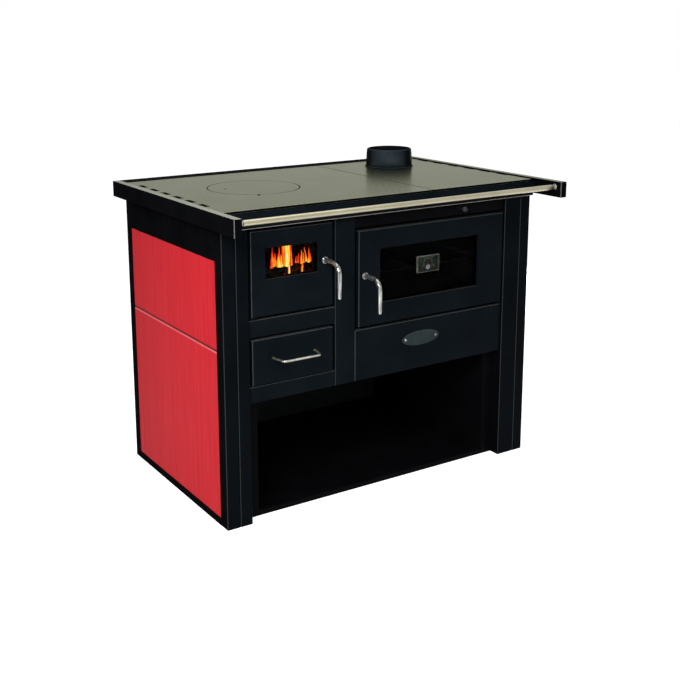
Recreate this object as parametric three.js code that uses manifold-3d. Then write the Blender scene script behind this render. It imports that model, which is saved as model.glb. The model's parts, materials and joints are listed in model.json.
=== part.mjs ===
// Wood cookstove: a tiled steel body with a firebox, an ash drawer and an oven over an open log
// store, under a steel hob with a lift-out ring lid, a flue collar and a towel bar.
//
// Millimetres. X runs to the right, Y to the rear and Z up. The origin lies on the floor, under
// the middle of the whole stove's outer box.

import * as THREE from 'three';
import { mergeVertices } from 'three/addons/utils/BufferGeometryUtils.js';
import Module from 'manifold-3d';

const wasm = await Module();
wasm.setup();

// ---------------------------------------------------------------- driving dimensions
// Overall
const worktopHeight = 850;        // floor to the top of the rails
const bodyWidth = 1027;
const bodyDepth = 605;
const railFrontOverhang = 121;    // rails reach this far ahead of the corner posts
const railRearOverhang = 34;      // and this far behind the rear panel
const railSideGap = 3.5;          // between the body's side and the rail beside it
const railWidth = 22;
const railHeight = 45;
const sheet = 2.5;                // thickness of the body's folded sheet steel
const thinSheet = 2;              // thickness of the inner sheets and the door pans
const runningGap = 0.3;           // between pieces that move, slide in or are laid in
const doorGap = 9;                // dark joint round each door

// Corner posts and the store's front flanges
const leftPostWidth = 75;
const rightPostWidth = 96;
const postThickness = 4;
const postSideDepth = 36;
const postReturnDepth = 35;
const postGrooveInset = 38;       // groove's middle, from the body's side
const postGrooveWidth = 3;
const postGrooveDepth = 2.6;
const storeFlangeWidth = 38;
const storeFloorHeight = 15;
const storeSideTopGap = 9;        // store's front flanges to the opening's top

// Front layout, upwards from the log store's opening
const heatedHeight = 517;         // worktop down to the opening's top edge
const sillHeight = 44;
const drawerSillGap = 3;
const drawerHeight = 123;
const drawerTopGap = 6;
const crossStripHeight = 47;
const fireDoorSillGap = 8;
const fireDoorHeight = 224;
const lowerPanelHeight = 145;
const ovenDoorHeight = 267;
const fireColumnWidth = 267;      // left post to mullion
const mullionWidth = 64;
const columnSideGap = 10;         // door or drawer to the mullion and to the left post
const ovenPostGap = 4;            // oven door to the right post
const doorSetback = 4;            // behind the posts' faces
const stripSetback = 8;           // mullion, strips and lower panel, behind the posts' faces
const doorDepth = 26;
const sealDepth = 3.7;

// Doors' windows, measured from the door's own edges
const fireWindow = { hingeMargin: 42, latchMargin: 46, bottomMargin: 96, topMargin: 47, recess: 4 };
const ovenWindow = { hingeMargin: 90, latchMargin: 70, bottomMargin: 59, topMargin: 55, recess: 9 };
const glassThickness = 4;
const glassLap = 10;              // glass behind the window's edge, all round
const sealWidth = 9.5;
const sealMargin = 30;            // rope seal from the door's edge
const mouthMargin = 41;           // mouth of the firebox or oven from the door's edge
const hingeInset = 5;             // hinge axis from the door's edge
const hingeDepth = 6;             // hinge axis behind the door's face
const hingeRodRadius = 3;
const hingeHoleRadius = 3.3;
const hingeLugThickness = 2.5;
const hingeLugWidth = 14;
const hingeLugGap = 1;            // lug to the door's end
const hingeRodEnd = 1;            // rod past its lugs

// Levers on both doors
const leverInsetFire = 25;        // spindle from the door's latch edge
const leverInsetOven = 20;
const leverHeightFire = 125;      // spindle above the door's lower edge
const leverHeightOven = 142;
const leverRadius = 6.5;
const leverReach = 70;            // grip's middle ahead of the door's face
const leverBend = 34;             // radius of the lever's bend
const leverDrop = 93;             // grip's end below the spindle
const rosetteRadius = 10;
const rosetteThickness = 5;
const spindleRadius = 4;
const spindleHoleRadius = 4.5;
const spindleInGrip = 2;          // spindle reaches into the grip's root
const latchThickness = 3;
const latchWidth = 8;
const latchDrop = 15;             // tongue below the spindle
const keeperGap = 3;              // keeper slot round the tongue

// Oven thermometer
const thermometerWidth = 77;
const thermometerHeight = 47;
const thermometerDepth = 7;
const thermometerFromHinge = 263; // its middle from the door's hinge edge
const thermometerUp = 145;        // its middle above the door's lower edge
const thermometerRim = 4;
const dialRecess = 2.6;
const needleLength = 13;
const needleTail = 13;
const needleThickness = 0.8;
const needleWidth = 2;
const needleHubRadius = 2.5;

// Ash drawer
const ashBoxSideGap = 11;         // box narrower than its front, on each side
const ashBoxHeight = 84;
const ashBoxDepth = 405;
const ashBoxSlideGap = 0.5;       // box to the plate that it slides on
const bailRadius = 3.6;
const bailReach = 46;
const bailFootSpan = 127;
const bailBarSpan = 110;
const bailBend = 9;
const bailFootLength = 12;        // straight foot before the leg leans inwards
const bailRaise = 68;             // bail above the drawer front's lower edge

// Side panels and tiles
const tileFieldFront = 38.3;      // from the posts' faces
const tileFieldRear = 30;         // from the body's rear
const tileFieldBottom = 20;
const tileFieldDrop = 133;        // worktop down to the tiles' top
const upperTileHeight = 239;      // tiles' top to the joint's middle
const tileJoint = 2;
const tileThickness = 8.5;
const tileRecess = 1.3;           // tile's face behind the panel's face
const louvreCount = 21;
const louvrePitch = 22;
const louvreWidth = 4;
const louvreDrop = 94;            // worktop down to the louvres' lower ends
const louvreHeight = 28;
const louvreFront = 75;           // first louvre from the posts' faces

// Worktop
const hobDrop = 2;                // hob's face below the rails' tops
const hobThickness = 6;
const hobFrontOverhang = 12;      // ahead of the posts' faces
const hobSeamX = 140;
const hobSeamGap = 1;
const fasciaHeight = 50;
const fasciaSetback = 2;          // behind the hob's front edge
const fasciaLip = 10;
const ventCount = 6;
const ventPitch = 77.5;
const ventLength = 40;
const ventWidth = 7;
const ventInset = 14;             // from the hob's side edge
const ventFront = 110;            // first vent's middle from the posts' faces
const ringX = -250;
const ringFront = 307;            // ring's centre from the posts' faces
const ringRadius = 130;
const ringGap = 0.8;
const ringLedge = 9;
const ringLipDepth = 3;
const ringBossDepth = 4;
const ringHoleRadius = 5;
const ringHoleX = -80;
const ringHoleY = 18;
const ringNotchWidth = 7;
const ringNotchReach = 18;
const ringNotchAngle = 247;       // degrees from +X
const flueX = 331;
const flueFront = 458;            // collar's centre from the posts' faces
const flueRadius = 71;
const flueWall = 4;
const flueHeight = 58;
const flueFlangeRadius = 77;
const flueFlangeThickness = 4;
const flueRimRadius = 3;

// Towel bar
const towelBarRadius = 7.5;
const towelBarWall = 1.2;
const towelBarDrop = 16;          // axis below the rails' tops
const towelBarFromRailFront = 24;
const towelBarEndGap = 14;        // from the bar's end to the rail
const barStubRadius = 5;
const barStubInsert = 12;
const barDiscRadius = 8.5;
const barDiscThickness = 3;

// Smoke damper
const knobRadius = 8;
const knobX = 238;
const knobRise = 23;              // above the oven header's lower edge
const knobReach = 30;             // knob's middle ahead of the posts' faces
const damperRodRadius = 3.5;
const damperHoleRadius = 4.5;
const damperWallFront = 352;      // smoke box wall from the posts' faces
const damperPlateWidth = 110;
const damperPlateHeight = 44;
const damperPlateThickness = 3;
const bypassMargin = 8;           // plate's lap over the bypass hole, all round
const smokeBoxLeft = 176;

// Inside
const innerFrontSetback = 34;     // from the posts' faces to the inner front plate
const drawerMouthGap = 4;
const fireboxWidth = 210;
const partitionRise = 51;         // above the store's opening
const firebrickThickness = 30;
const firebrickDrop = 44;         // worktop down to the bricks' top
const ashFall = 37.5;             // ash box's top to the firebox floor
const fireboxFloorThickness = 4;
const fireboxDepth = 410;
const fireboxFloorWall = 3;
const ashPitGap = 9;              // ash box to the pit's walls
const grateLength = 300;
const grateWidth = 150;
const grateThickness = 18;
const grateBarCount = 8;
const grateBorder = 12;
const grateSlotWidth = 9;
const grateFit = 1;
const ovenDepth = 450;
const ovenRackRise = 95;          // rack above the oven's floor
const rackRodRadius = 3;
const rackBarRadius = 1.8;
const rackBarCount = 13;
const rackClearance = 2;
const rackSupportHeight = 6;
const rackSupportWidth = 12;

// Oval plate on the lower panel
const plateX = 118;
const plateRise = 90;             // its middle above the store's opening
const plateHalfWidth = 65;
const plateHalfHeight = 21.5;
const plateThickness = 2;
const rivetSpan = 106;
const rivetRadius = 4;
const rivetHeight = 1.6;

// Sides and steps of round forms
const ringSides = 64;
const collarSides = 40;
const rodSides = 24;
const holeSides = 16;
const spindleSides = 12;
const rackRodSides = 8;
const rackBarSides = 6;
const knobColumns = 14;
const knobRings = 10;
const plateSteps = 32;
const mergeDistance = 1e-4;
const leverSteps = 14;
const leverSides = 5;             // per half turn
const bailSteps = 28;
const bailSides = 4;              // per half turn
const rimSteps = 4;

// ---------------------------------------------------------------- derived places
const worktopDepth = railFrontOverhang + bodyDepth + railRearOverhang;
const railFront = -worktopDepth / 2;
const railRear = worktopDepth / 2;
const bodyFront = railFront + railFrontOverhang;
const bodyRear = bodyFront + bodyDepth;
const bodySide = bodyWidth / 2;
const railInner = bodySide + railSideGap;
const railOuter = railInner + railWidth;
const hobTop = worktopHeight - hobDrop;
const hobUnder = hobTop - hobThickness;
const hobFront = bodyFront - hobFrontOverhang;
const hobRear = railRear - railWidth;
const leftPostInner = -bodySide + leftPostWidth;
const rightPostInner = bodySide - rightPostWidth;
const mullionLeft = leftPostInner + fireColumnWidth;
const mullionRight = mullionLeft + mullionWidth;
const doorFront = bodyFront + doorSetback;
const stripFront = bodyFront + stripSetback;
const innerFrontFace = bodyFront + innerFrontSetback;
const innerFrontBack = innerFrontFace + sheet;
const fasciaFront = hobFront + fasciaSetback;
const fasciaBottom = hobTop - fasciaHeight;

const storeOpeningTop = worktopHeight - heatedHeight;
const partitionHeight = storeOpeningTop + partitionRise;
const partitionTop = partitionHeight + thinSheet;
const plateHeight = storeOpeningTop + plateRise;
const tileFieldTop = worktopHeight - tileFieldDrop;
const tileJointHeight = tileFieldTop - upperTileHeight;
const louvreBottom = worktopHeight - louvreDrop;
const firebrickTop = worktopHeight - firebrickDrop;
const sillTop = storeOpeningTop + sillHeight;
const drawerBottom = sillTop + drawerSillGap;
const drawerTop = drawerBottom + drawerHeight;
const crossStripBottom = drawerTop + drawerTopGap;
const crossStripTop = crossStripBottom + crossStripHeight;
const fireDoorBottom = crossStripTop + fireDoorSillGap;
const lowerPanelTop = storeOpeningTop + lowerPanelHeight;
const ovenDoorBottom = lowerPanelTop + doorGap;
const ovenDoorTop = ovenDoorBottom + ovenDoorHeight;
const headerBottom = ovenDoorTop + doorGap;
const knobHeight = headerBottom + knobRise;
const fireDoorLeft = leftPostInner + columnSideGap;
const fireDoorRight = mullionLeft - columnSideGap;
const fireDoorTop = fireDoorBottom + fireDoorHeight;
const ovenDoorLeft = mullionRight + columnSideGap;
const ovenDoorRight = rightPostInner - ovenPostGap;
const ringY = bodyFront + ringFront;
const flueY = bodyFront + flueFront;
const smokeWallFront = bodyFront + damperWallFront;

// ---------------------------------------------------------------- materials
const finish = (color, roughness, metalness) =>
  new THREE.MeshStandardMaterial({ color, roughness, metalness });
const blackPaint = finish(0x14171b, 0.45, 0.3);
const innerSteel = finish(0x1b1c1d, 0.7, 0.4);
const hobSteel = finish(0x84876f, 0.4, 0.7);
const redTile = finish(0xc8303a, 0.35, 0);
const chrome = finish(0xd9dbdd, 0.15, 1);
const brushedSteel = finish(0xcfc9b4, 0.3, 1);
const castIron = finish(0x202123, 0.75, 0.3);
const firebrick = finish(0xb49a78, 0.95, 0);
const glass = finish(0x07080a, 0.05, 0);
const ropeSeal = finish(0x2c2d2e, 0.95, 0);
const needleRed = finish(0xb02018, 0.5, 0);

// ---------------------------------------------------------------- solids
// A closed mesh as a solid that can be joined and cut.
const solidFrom = (geometry) => {
  const bare = geometry.clone();
  bare.deleteAttribute('normal');
  bare.deleteAttribute('uv');
  const merged = mergeVertices(bare, mergeDistance);
  return new wasm.Manifold(new wasm.Mesh({
    numProp: 3,
    vertProperties: new Float32Array(merged.attributes.position.array),
    triVerts: new Uint32Array(merged.index.array),
  }));
};

const geometryFrom = (solid) => {
  const mesh = solid.getMesh();
  const geometry = new THREE.BufferGeometry();
  geometry.setAttribute('position', new THREE.BufferAttribute(mesh.vertProperties, 3));
  geometry.setIndex(new THREE.BufferAttribute(mesh.triVerts, 1));
  geometry.computeVertexNormals();
  return geometry;
};

const join = (...solids) => solids.reduce((whole, piece) => whole.add(piece));
const cut = (solid, ...tools) => tools.reduce((whole, tool) => whole.subtract(tool), solid);

// A block between two corners, given as ranges along X, Y and Z.
const block = (x, y, z) => {
  const geometry = new THREE.BoxGeometry(x[1] - x[0], y[1] - y[0], z[1] - z[0]);
  geometry.translate((x[0] + x[1]) / 2, (y[0] + y[1]) / 2, (z[0] + z[1]) / 2);
  return solidFrom(geometry);
};

// A round bar along one axis; `at` gives the other two coordinates in X, Y, Z order.
const bar = (axis, radius, from, to, at, sides = holeSides) => {
  const geometry = new THREE.CylinderGeometry(radius, radius, to - from, sides);
  const middle = (from + to) / 2;
  if (axis === 'x') {
    geometry.rotateZ(-Math.PI / 2);
    geometry.translate(middle, at[0], at[1]);
  } else if (axis === 'y') {
    geometry.translate(at[0], middle, at[1]);
  } else {
    geometry.rotateX(Math.PI / 2);
    geometry.translate(at[0], at[1], middle);
  }
  return solidFrom(geometry);
};

// A closed profile of [radius, height] points, turned about the Z axis.
const turned = (profile, sides) => {
  const points = profile.map(([radius, height]) => new THREE.Vector2(radius, height));
  const geometry = new THREE.LatheGeometry(points, sides);
  geometry.rotateX(Math.PI / 2);
  return solidFrom(geometry);
};

// A round rod bent along a path.
const bentRod = (path, radius, steps, sides) => {
  const section = new THREE.Shape();
  section.absarc(0, 0, radius, 0, Math.PI * 2);
  const settings = { steps, extrudePath: path, bevelEnabled: false, curveSegments: sides };
  return solidFrom(new THREE.ExtrudeGeometry(section, settings));
};

// Straight runs between corner points, with each inner corner turned to a bend.
const bentPath = (points, bend) => {
  const path = new THREE.CurvePath();
  let from = points[0];
  for (let i = 1; i < points.length - 1; i += 1) {
    const corner = points[i];
    const into = corner.clone().sub(points[i - 1]).normalize().multiplyScalar(-bend);
    const out = points[i + 1].clone().sub(corner).normalize().multiplyScalar(bend);
    const bendStart = corner.clone().add(into);
    const bendEnd = corner.clone().add(out);
    path.add(new THREE.LineCurve3(from, bendStart));
    path.add(new THREE.QuadraticBezierCurve3(bendStart, corner, bendEnd));
    from = bendEnd;
  }
  path.add(new THREE.LineCurve3(from, points[points.length - 1]));
  return path;
};

// A flat ring with a rectangular outline, standing in the XZ plane.
const flatFrame = (x, y, z, width) => cut(
  block(x, y, z),
  block([x[0] + width, x[1] - width], [y[0] - 1, y[1] + 1], [z[0] + width, z[1] - width]),
);

// A folded pan: a front sheet with four turned-back sides, open to the rear.
const pan = (x, y, z, wall) => cut(
  block(x, y, z),
  block([x[0] + wall, x[1] - wall], [y[0] + wall, y[1] + 1], [z[0] + wall, z[1] - wall]),
);

const stove = new THREE.Group();
const addPiece = (group, name, solid, material) => {
  const mesh = new THREE.Mesh(geometryFrom(solid), material);
  mesh.name = name;
  group.add(mesh);
  return mesh;
};
const mirrored = ([from, to], side) => (side > 0 ? [from, to] : [-to, -from]);

// ---------------------------------------------------------------- corner posts
// A folded channel: the grooved front face, a return along the stove's side and one beside the store.
const cornerPost = (outer, inner) => {
  const side = Math.sign(outer);
  const width = Math.abs(outer - inner);
  const across = (from, to) => mirrored([Math.abs(outer) - to, Math.abs(outer) - from], side);
  const tall = [0, hobUnder];
  const groove = [postGrooveInset - postGrooveWidth / 2, postGrooveInset + postGrooveWidth / 2];
  return cut(
    join(
      block(across(0, width), [bodyFront, bodyFront + postThickness], tall),
      block(across(0, sheet), [bodyFront, bodyFront + postSideDepth], tall),
      block(across(width - sheet, width), [bodyFront, bodyFront + postReturnDepth], tall),
    ),
    block(across(...groove), [bodyFront - 1, bodyFront + postGrooveDepth], [-1, worktopHeight]),
  );
};
addPiece(stove, 'corner_post_left', cornerPost(-bodySide, leftPostInner), blackPaint);
addPiece(stove, 'corner_post_right', cornerPost(bodySide, rightPostInner), blackPaint);

// ---------------------------------------------------------------- side panels and tiles
// Each side is one sheet with a shallow tray pressed into it for two tiles, and louvres over them.
const tileFaceX = bodySide - tileRecess;
const tileBackX = tileFaceX - tileThickness;
const trayFloorX = tileBackX - runningGap;
const fieldY = [bodyFront + tileFieldFront, bodyRear - tileFieldRear];
const panelY = [bodyFront + postSideDepth + runningGap, bodyRear];

const sidePanel = (side) => {
  const tray = block(
    mirrored([trayFloorX - thinSheet, bodySide], side),
    [fieldY[0] - thinSheet, fieldY[1] + thinSheet],
    [tileFieldBottom - thinSheet, tileFieldTop + thinSheet],
  );
  const hollow = block(
    mirrored([trayFloorX, bodySide + 1], side),
    fieldY,
    [tileFieldBottom, tileFieldTop],
  );
  const louvres = [];
  for (let i = 0; i < louvreCount; i += 1) {
    const middle = bodyFront + louvreFront + i * louvrePitch;
    louvres.push(block(
      mirrored([bodySide - sheet - 1, bodySide + 1], side),
      [middle - louvreWidth / 2, middle + louvreWidth / 2],
      [louvreBottom, louvreBottom + louvreHeight],
    ));
  }
  const face = block(mirrored([bodySide - sheet, bodySide], side), panelY, [0, hobUnder]);
  return cut(join(face, tray), hollow, ...louvres);
};

const tile = (side, from, to) => block(
  mirrored([tileBackX, tileFaceX], side),
  [fieldY[0] + runningGap, fieldY[1] - runningGap],
  [from, to],
);

for (const [word, side] of [['left', -1], ['right', 1]]) {
  const lowerTop = tileJointHeight - tileJoint / 2;
  const upperBottom = tileJointHeight + tileJoint / 2;
  addPiece(stove, `side_panel_${word}`, sidePanel(side), blackPaint);
  addPiece(stove, `tile_${word}_lower`, tile(side, tileFieldBottom + runningGap, lowerTop), redTile);
  addPiece(stove, `tile_${word}_upper`, tile(side, upperBottom, tileFieldTop - runningGap), redTile);
}

// ---------------------------------------------------------------- body sheets
const bodyInside = bodySide - sheet - runningGap;
const rearPanelFront = bodyRear - sheet;
const rearPanel = block([-bodyInside, bodyInside], [rearPanelFront, bodyRear], [0, hobUnder]);
addPiece(stove, 'rear_panel', rearPanel, blackPaint);

// The plate between the log store and the hot chambers; it stands on the store's sides.
const trayInside = trayFloorX - thinSheet - runningGap;
const partition = block(
  [-trayInside, trayInside],
  [innerFrontBack, rearPanelFront],
  [partitionHeight, partitionTop],
);
addPiece(stove, 'partition_plate', partition, innerSteel);

// Floor, sides and front flanges of the log store, folded from one sheet.
const storeFront = bodyFront + postReturnDepth;
const storeLeft = leftPostInner + storeFlangeWidth;
const storeRight = rightPostInner - storeFlangeWidth;
const storeWidth = [leftPostInner, rightPostInner];
const storeDepth = [storeFront, rearPanelFront];
const storeFold = [storeFront, storeFront + sheet];
const storeFlangeTop = storeOpeningTop - storeSideTopGap;
const storeBox = join(
  block(storeWidth, storeDepth, [storeFloorHeight - sheet, storeFloorHeight]),
  block(storeWidth, storeFold, [0, storeFloorHeight]),
  block([storeLeft - thinSheet, storeLeft], storeDepth, [0, partitionHeight]),
  block([storeRight, storeRight + thinSheet], storeDepth, [0, partitionHeight]),
  block([leftPostInner, storeLeft], storeFold, [0, storeFlangeTop]),
  block([storeRight, rightPostInner], storeFold, [0, storeFlangeTop]),
);
const storeFrontCut = block(
  [-bodySide, bodySide],
  [storeFront - 1, innerFrontBack + runningGap],
  [storeFlangeTop, partitionTop],
);
addPiece(stove, 'store_box', cut(storeBox, storeFrontCut), blackPaint);

// ---------------------------------------------------------------- inner front plate with hinge lugs
const fireHingeX = fireDoorLeft + hingeInset;
const ovenHingeX = ovenDoorRight - hingeInset;
const hingeY = doorFront + hingeDepth;
const hingeLug = (x, z) => cut(
  block(
    [x - hingeLugWidth / 2, x + hingeLugWidth / 2],
    [hingeY - hingeLugWidth / 2, innerFrontFace + sheet / 2],
    [z, z + hingeLugThickness],
  ),
  bar('z', hingeHoleRadius, z - 1, z + hingeLugThickness + 1, [x, hingeY]),
);
const fireLugLow = fireDoorBottom - hingeLugGap - hingeLugThickness;
const fireLugHigh = fireDoorTop + hingeLugGap;
const ovenLugLow = ovenDoorBottom - hingeLugGap - hingeLugThickness;
const ovenLugHigh = ovenDoorTop + hingeLugGap;

const fireMouth = {
  x: [fireDoorLeft + mouthMargin, fireDoorRight - mouthMargin],
  z: [fireDoorBottom + mouthMargin, fireDoorTop - mouthMargin],
};
const ovenMouth = {
  x: [ovenDoorLeft + mouthMargin, ovenDoorRight - mouthMargin],
  z: [ovenDoorBottom + mouthMargin, ovenDoorTop - mouthMargin],
};
const ashBoxX = [fireDoorLeft + ashBoxSideGap, fireDoorRight - ashBoxSideGap];
const ashBoxBottom = partitionTop + ashBoxSlideGap;
const ashBoxZ = [ashBoxBottom, ashBoxBottom + ashBoxHeight];
const fireboxFloorHeight = ashBoxZ[1] + ashFall;
const drawerMouth = {
  x: [ashBoxX[0] - drawerMouthGap, ashBoxX[1] + drawerMouthGap],
  z: [partitionTop, ashBoxZ[1] + drawerMouthGap],
};
const plateDepth = [innerFrontFace, innerFrontBack];
const throughPlate = [innerFrontFace - 1, innerFrontBack + 1];
const innerFrontZ = [storeOpeningTop, hobUnder];
const keeperSlot = (x, z) => block(
  [x - latchWidth / 2 - keeperGap, x + latchWidth / 2 + keeperGap],
  throughPlate,
  [z - latchDrop - keeperGap, z + latchWidth / 2 + keeperGap],
);
const innerFront = join(
  cut(
    block([leftPostInner + runningGap, rightPostInner - runningGap], plateDepth, innerFrontZ),
    block(fireMouth.x, throughPlate, fireMouth.z),
    block(ovenMouth.x, throughPlate, ovenMouth.z),
    block(drawerMouth.x, throughPlate, drawerMouth.z),
    bar('y', damperHoleRadius, ...throughPlate, [knobX, knobHeight]),
    keeperSlot(fireDoorRight - leverInsetFire, fireDoorBottom + leverHeightFire),
    keeperSlot(ovenDoorLeft + leverInsetOven, ovenDoorBottom + leverHeightOven),
  ),
  hingeLug(fireHingeX, fireLugLow),
  hingeLug(fireHingeX, fireLugHigh),
  hingeLug(ovenHingeX, ovenLugLow),
  hingeLug(ovenHingeX, ovenLugHigh),
);
addPiece(stove, 'inner_front', innerFront, innerSteel);

const hingeRod = (x, low, high) => bar('z', hingeRodRadius, low, high, [x, hingeY]);
const rodPastLug = hingeLugThickness + hingeRodEnd;
const fireRod = hingeRod(fireHingeX, fireLugLow - hingeRodEnd, fireLugHigh + rodPastLug);
const ovenRod = hingeRod(ovenHingeX, ovenLugLow - hingeRodEnd, ovenLugHigh + rodPastLug);
addPiece(stove, 'fire_hinge_rod', fireRod, chrome);
addPiece(stove, 'oven_hinge_rod', ovenRod, chrome);

// ---------------------------------------------------------------- fixed front strips
const stripDepth = [stripFront, innerFrontFace];
const strip = (x, z) => pan(x, stripDepth, z, thinSheet);
const columnX = [leftPostInner + runningGap, mullionLeft - runningGap];
const ovenColumnX = [mullionRight + runningGap, rightPostInner - runningGap];
addPiece(stove, 'mullion', strip([mullionLeft, mullionRight], [storeOpeningTop, hobUnder]), blackPaint);
addPiece(stove, 'drawer_sill', strip(columnX, [storeOpeningTop, sillTop]), blackPaint);
addPiece(stove, 'cross_strip', strip(columnX, [crossStripBottom, crossStripTop]), blackPaint);
addPiece(stove, 'lower_panel', strip(ovenColumnX, [storeOpeningTop, lowerPanelTop]), blackPaint);
const header = cut(
  strip(ovenColumnX, [headerBottom, hobUnder]),
  bar('y', damperHoleRadius, stripFront - 1, stripFront + thinSheet + 1, [knobX, knobHeight]),
);
addPiece(stove, 'oven_header', header, blackPaint);

// Bare oval plate held by two rivets.
const ovalPlate = () => {
  const outline = new THREE.Shape();
  outline.absellipse(0, 0, plateHalfWidth, plateHalfHeight, 0, Math.PI * 2);
  const settings = { depth: plateThickness, bevelEnabled: false, curveSegments: plateSteps };
  const oval = new THREE.ExtrudeGeometry(outline, settings);
  oval.rotateX(Math.PI / 2);
  oval.translate(plateX, stripFront, plateHeight);
  const rivetY = [stripFront - plateThickness - rivetHeight, stripFront - plateThickness / 2];
  const rivetLeft = bar('y', rivetRadius, ...rivetY, [plateX - rivetSpan / 2, plateHeight]);
  const rivetRight = bar('y', rivetRadius, ...rivetY, [plateX + rivetSpan / 2, plateHeight]);
  return join(solidFrom(oval), rivetLeft, rivetRight);
};
addPiece(stove, 'oval_plate', ovalPlate(), brushedSteel);

// ---------------------------------------------------------------- worktop frame
// Rails are folded channels with closed ends, open below.
const rail = (x, y) => cut(
  block(x, y, [worktopHeight - railHeight, worktopHeight]),
  block(
    [x[0] + thinSheet, x[1] - thinSheet],
    [y[0] + thinSheet, y[1] - thinSheet],
    [worktopHeight - railHeight - 1, worktopHeight - thinSheet],
  ),
);
addPiece(stove, 'side_rail_left', rail([-railOuter, -railInner], [railFront, railRear]), blackPaint);
addPiece(stove, 'side_rail_right', rail([railInner, railOuter], [railFront, railRear]), blackPaint);
addPiece(stove, 'rear_rail', rail([-railInner, railInner], [hobRear, railRear]), blackPaint);

// The fascia hangs from the hob's front edge; its lip reaches back to the posts.
const fasciaZ = [fasciaBottom, hobUnder];
const fascia = join(
  block([-railInner, railInner], [fasciaFront, fasciaFront + sheet], fasciaZ),
  block([-railInner, railInner], [fasciaFront, bodyFront], [fasciaBottom, fasciaBottom + sheet]),
  block([-railInner, railInner], [fasciaFront, fasciaFront + fasciaLip], [hobUnder - sheet, hobUnder]),
);
addPiece(stove, 'front_fascia', fascia, blackPaint);

// ---------------------------------------------------------------- hob plates and ring lid
const seamHalf = hobSeamGap / 2;
const hobEdge = railInner - runningGap;
const hobY = [hobFront, hobRear - runningGap];
const hobZ = [hobUnder, hobTop];
const throughHob = [hobUnder - 1, hobTop + 1];
const ventSlots = (side) => {
  const slots = [];
  for (let i = 0; i < ventCount; i += 1) {
    const middle = bodyFront + ventFront + i * ventPitch;
    slots.push(block(
      mirrored([railInner - ventInset - ventWidth / 2, railInner - ventInset + ventWidth / 2], side),
      [middle - ventLength / 2, middle + ventLength / 2],
      throughHob,
    ));
  }
  return slots;
};
const ringWell = ringRadius + ringGap;
const notchAngle = THREE.MathUtils.degToRad(ringNotchAngle);
const notchMiddle = ringWell + ringNotchReach / 2 - ringGap;
const notchLength = ringNotchReach + 2 * ringGap;
const notchGeometry = new THREE.BoxGeometry(notchLength, ringNotchWidth, 2 * ringLipDepth);
notchGeometry.rotateZ(notchAngle);
notchGeometry.translate(
  ringX + notchMiddle * Math.cos(notchAngle),
  ringY + notchMiddle * Math.sin(notchAngle),
  hobTop,
);
const leftHob = cut(
  block([-hobEdge, hobSeamX - seamHalf], hobY, hobZ),
  bar('z', ringWell - ringLedge, ...throughHob, [ringX, ringY], ringSides),
  bar('z', ringWell, hobTop - ringLipDepth, hobTop + 1, [ringX, ringY], ringSides),
  solidFrom(notchGeometry),
  ...ventSlots(-1),
);
addPiece(stove, 'hob_plate_left', leftHob, hobSteel);

const flueBore = flueRadius - flueWall;
const rightHob = cut(
  block([hobSeamX + seamHalf, hobEdge], hobY, hobZ),
  bar('z', flueBore, ...throughHob, [flueX, flueY], collarSides),
  ...ventSlots(1),
);
addPiece(stove, 'hob_plate_right', rightHob, hobSteel);

const lidFace = ringLipDepth - runningGap;
const ringLid = cut(
  join(
    bar('z', ringRadius, hobTop - lidFace, hobTop, [ringX, ringY], ringSides),
    bar(
      'z',
      ringWell - ringLedge - ringGap,
      hobTop - lidFace - ringBossDepth,
      hobTop - lidFace / 2,
      [ringX, ringY],
      ringSides,
    ),
  ),
  bar('z', ringHoleRadius, hobUnder - ringBossDepth, hobTop + 1, [ringX + ringHoleX, ringY + ringHoleY]),
);
addPiece(stove, 'ring_lid', ringLid, hobSteel);

// ---------------------------------------------------------------- flue collar
// A spigot with a rolled rim on a flat flange, over the hole in the right hob plate.
const collarProfile = () => {
  const rimCentre = flueRadius - flueRimRadius;
  const points = [
    [flueBore, 0],
    [flueFlangeRadius, 0],
    [flueFlangeRadius, flueFlangeThickness],
    [flueRadius, flueFlangeThickness],
  ];
  for (let i = 0; i <= rimSteps; i += 1) {
    const angle = (Math.PI / 2) * (i / rimSteps);
    points.push([
      rimCentre + flueRimRadius * Math.cos(angle),
      flueHeight - flueRimRadius + flueRimRadius * Math.sin(angle),
    ]);
  }
  points.push([flueBore, flueHeight]);
  points.push([flueBore, 0]);
  return points;
};
const collar = addPiece(stove, 'flue_collar', turned(collarProfile(), collarSides), castIron);
collar.position.set(flueX, flueY, hobTop);

// ---------------------------------------------------------------- towel bar
const barEnd = railInner - towelBarEndGap;
const towelY = railFront + towelBarFromRailFront;
const towelZ = worktopHeight - towelBarDrop;
const towelBar = cut(
  bar('x', towelBarRadius, -barEnd, barEnd, [towelY, towelZ], rodSides),
  bar('x', towelBarRadius - towelBarWall, -barEnd - 1, barEnd + 1, [towelY, towelZ], rodSides),
);
addPiece(stove, 'towel_bar', towelBar, brushedSteel);
for (const [word, side] of [['left', -1], ['right', 1]]) {
  const along = (from, to) => mirrored([railInner - to, railInner - from], side);
  const stubReach = towelBarEndGap + barStubInsert;
  const inserted = towelBarRadius - towelBarWall - runningGap;
  const holder = join(
    bar('x', barDiscRadius, ...along(0, barDiscThickness), [towelY, towelZ], rodSides),
    bar('x', barStubRadius, ...along(1, towelBarEndGap + 1), [towelY, towelZ]),
    bar('x', inserted, ...along(towelBarEndGap - 1, stubReach), [towelY, towelZ], rodSides),
  );
  addPiece(stove, `bar_holder_${word}`, holder, chrome);
}

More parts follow.
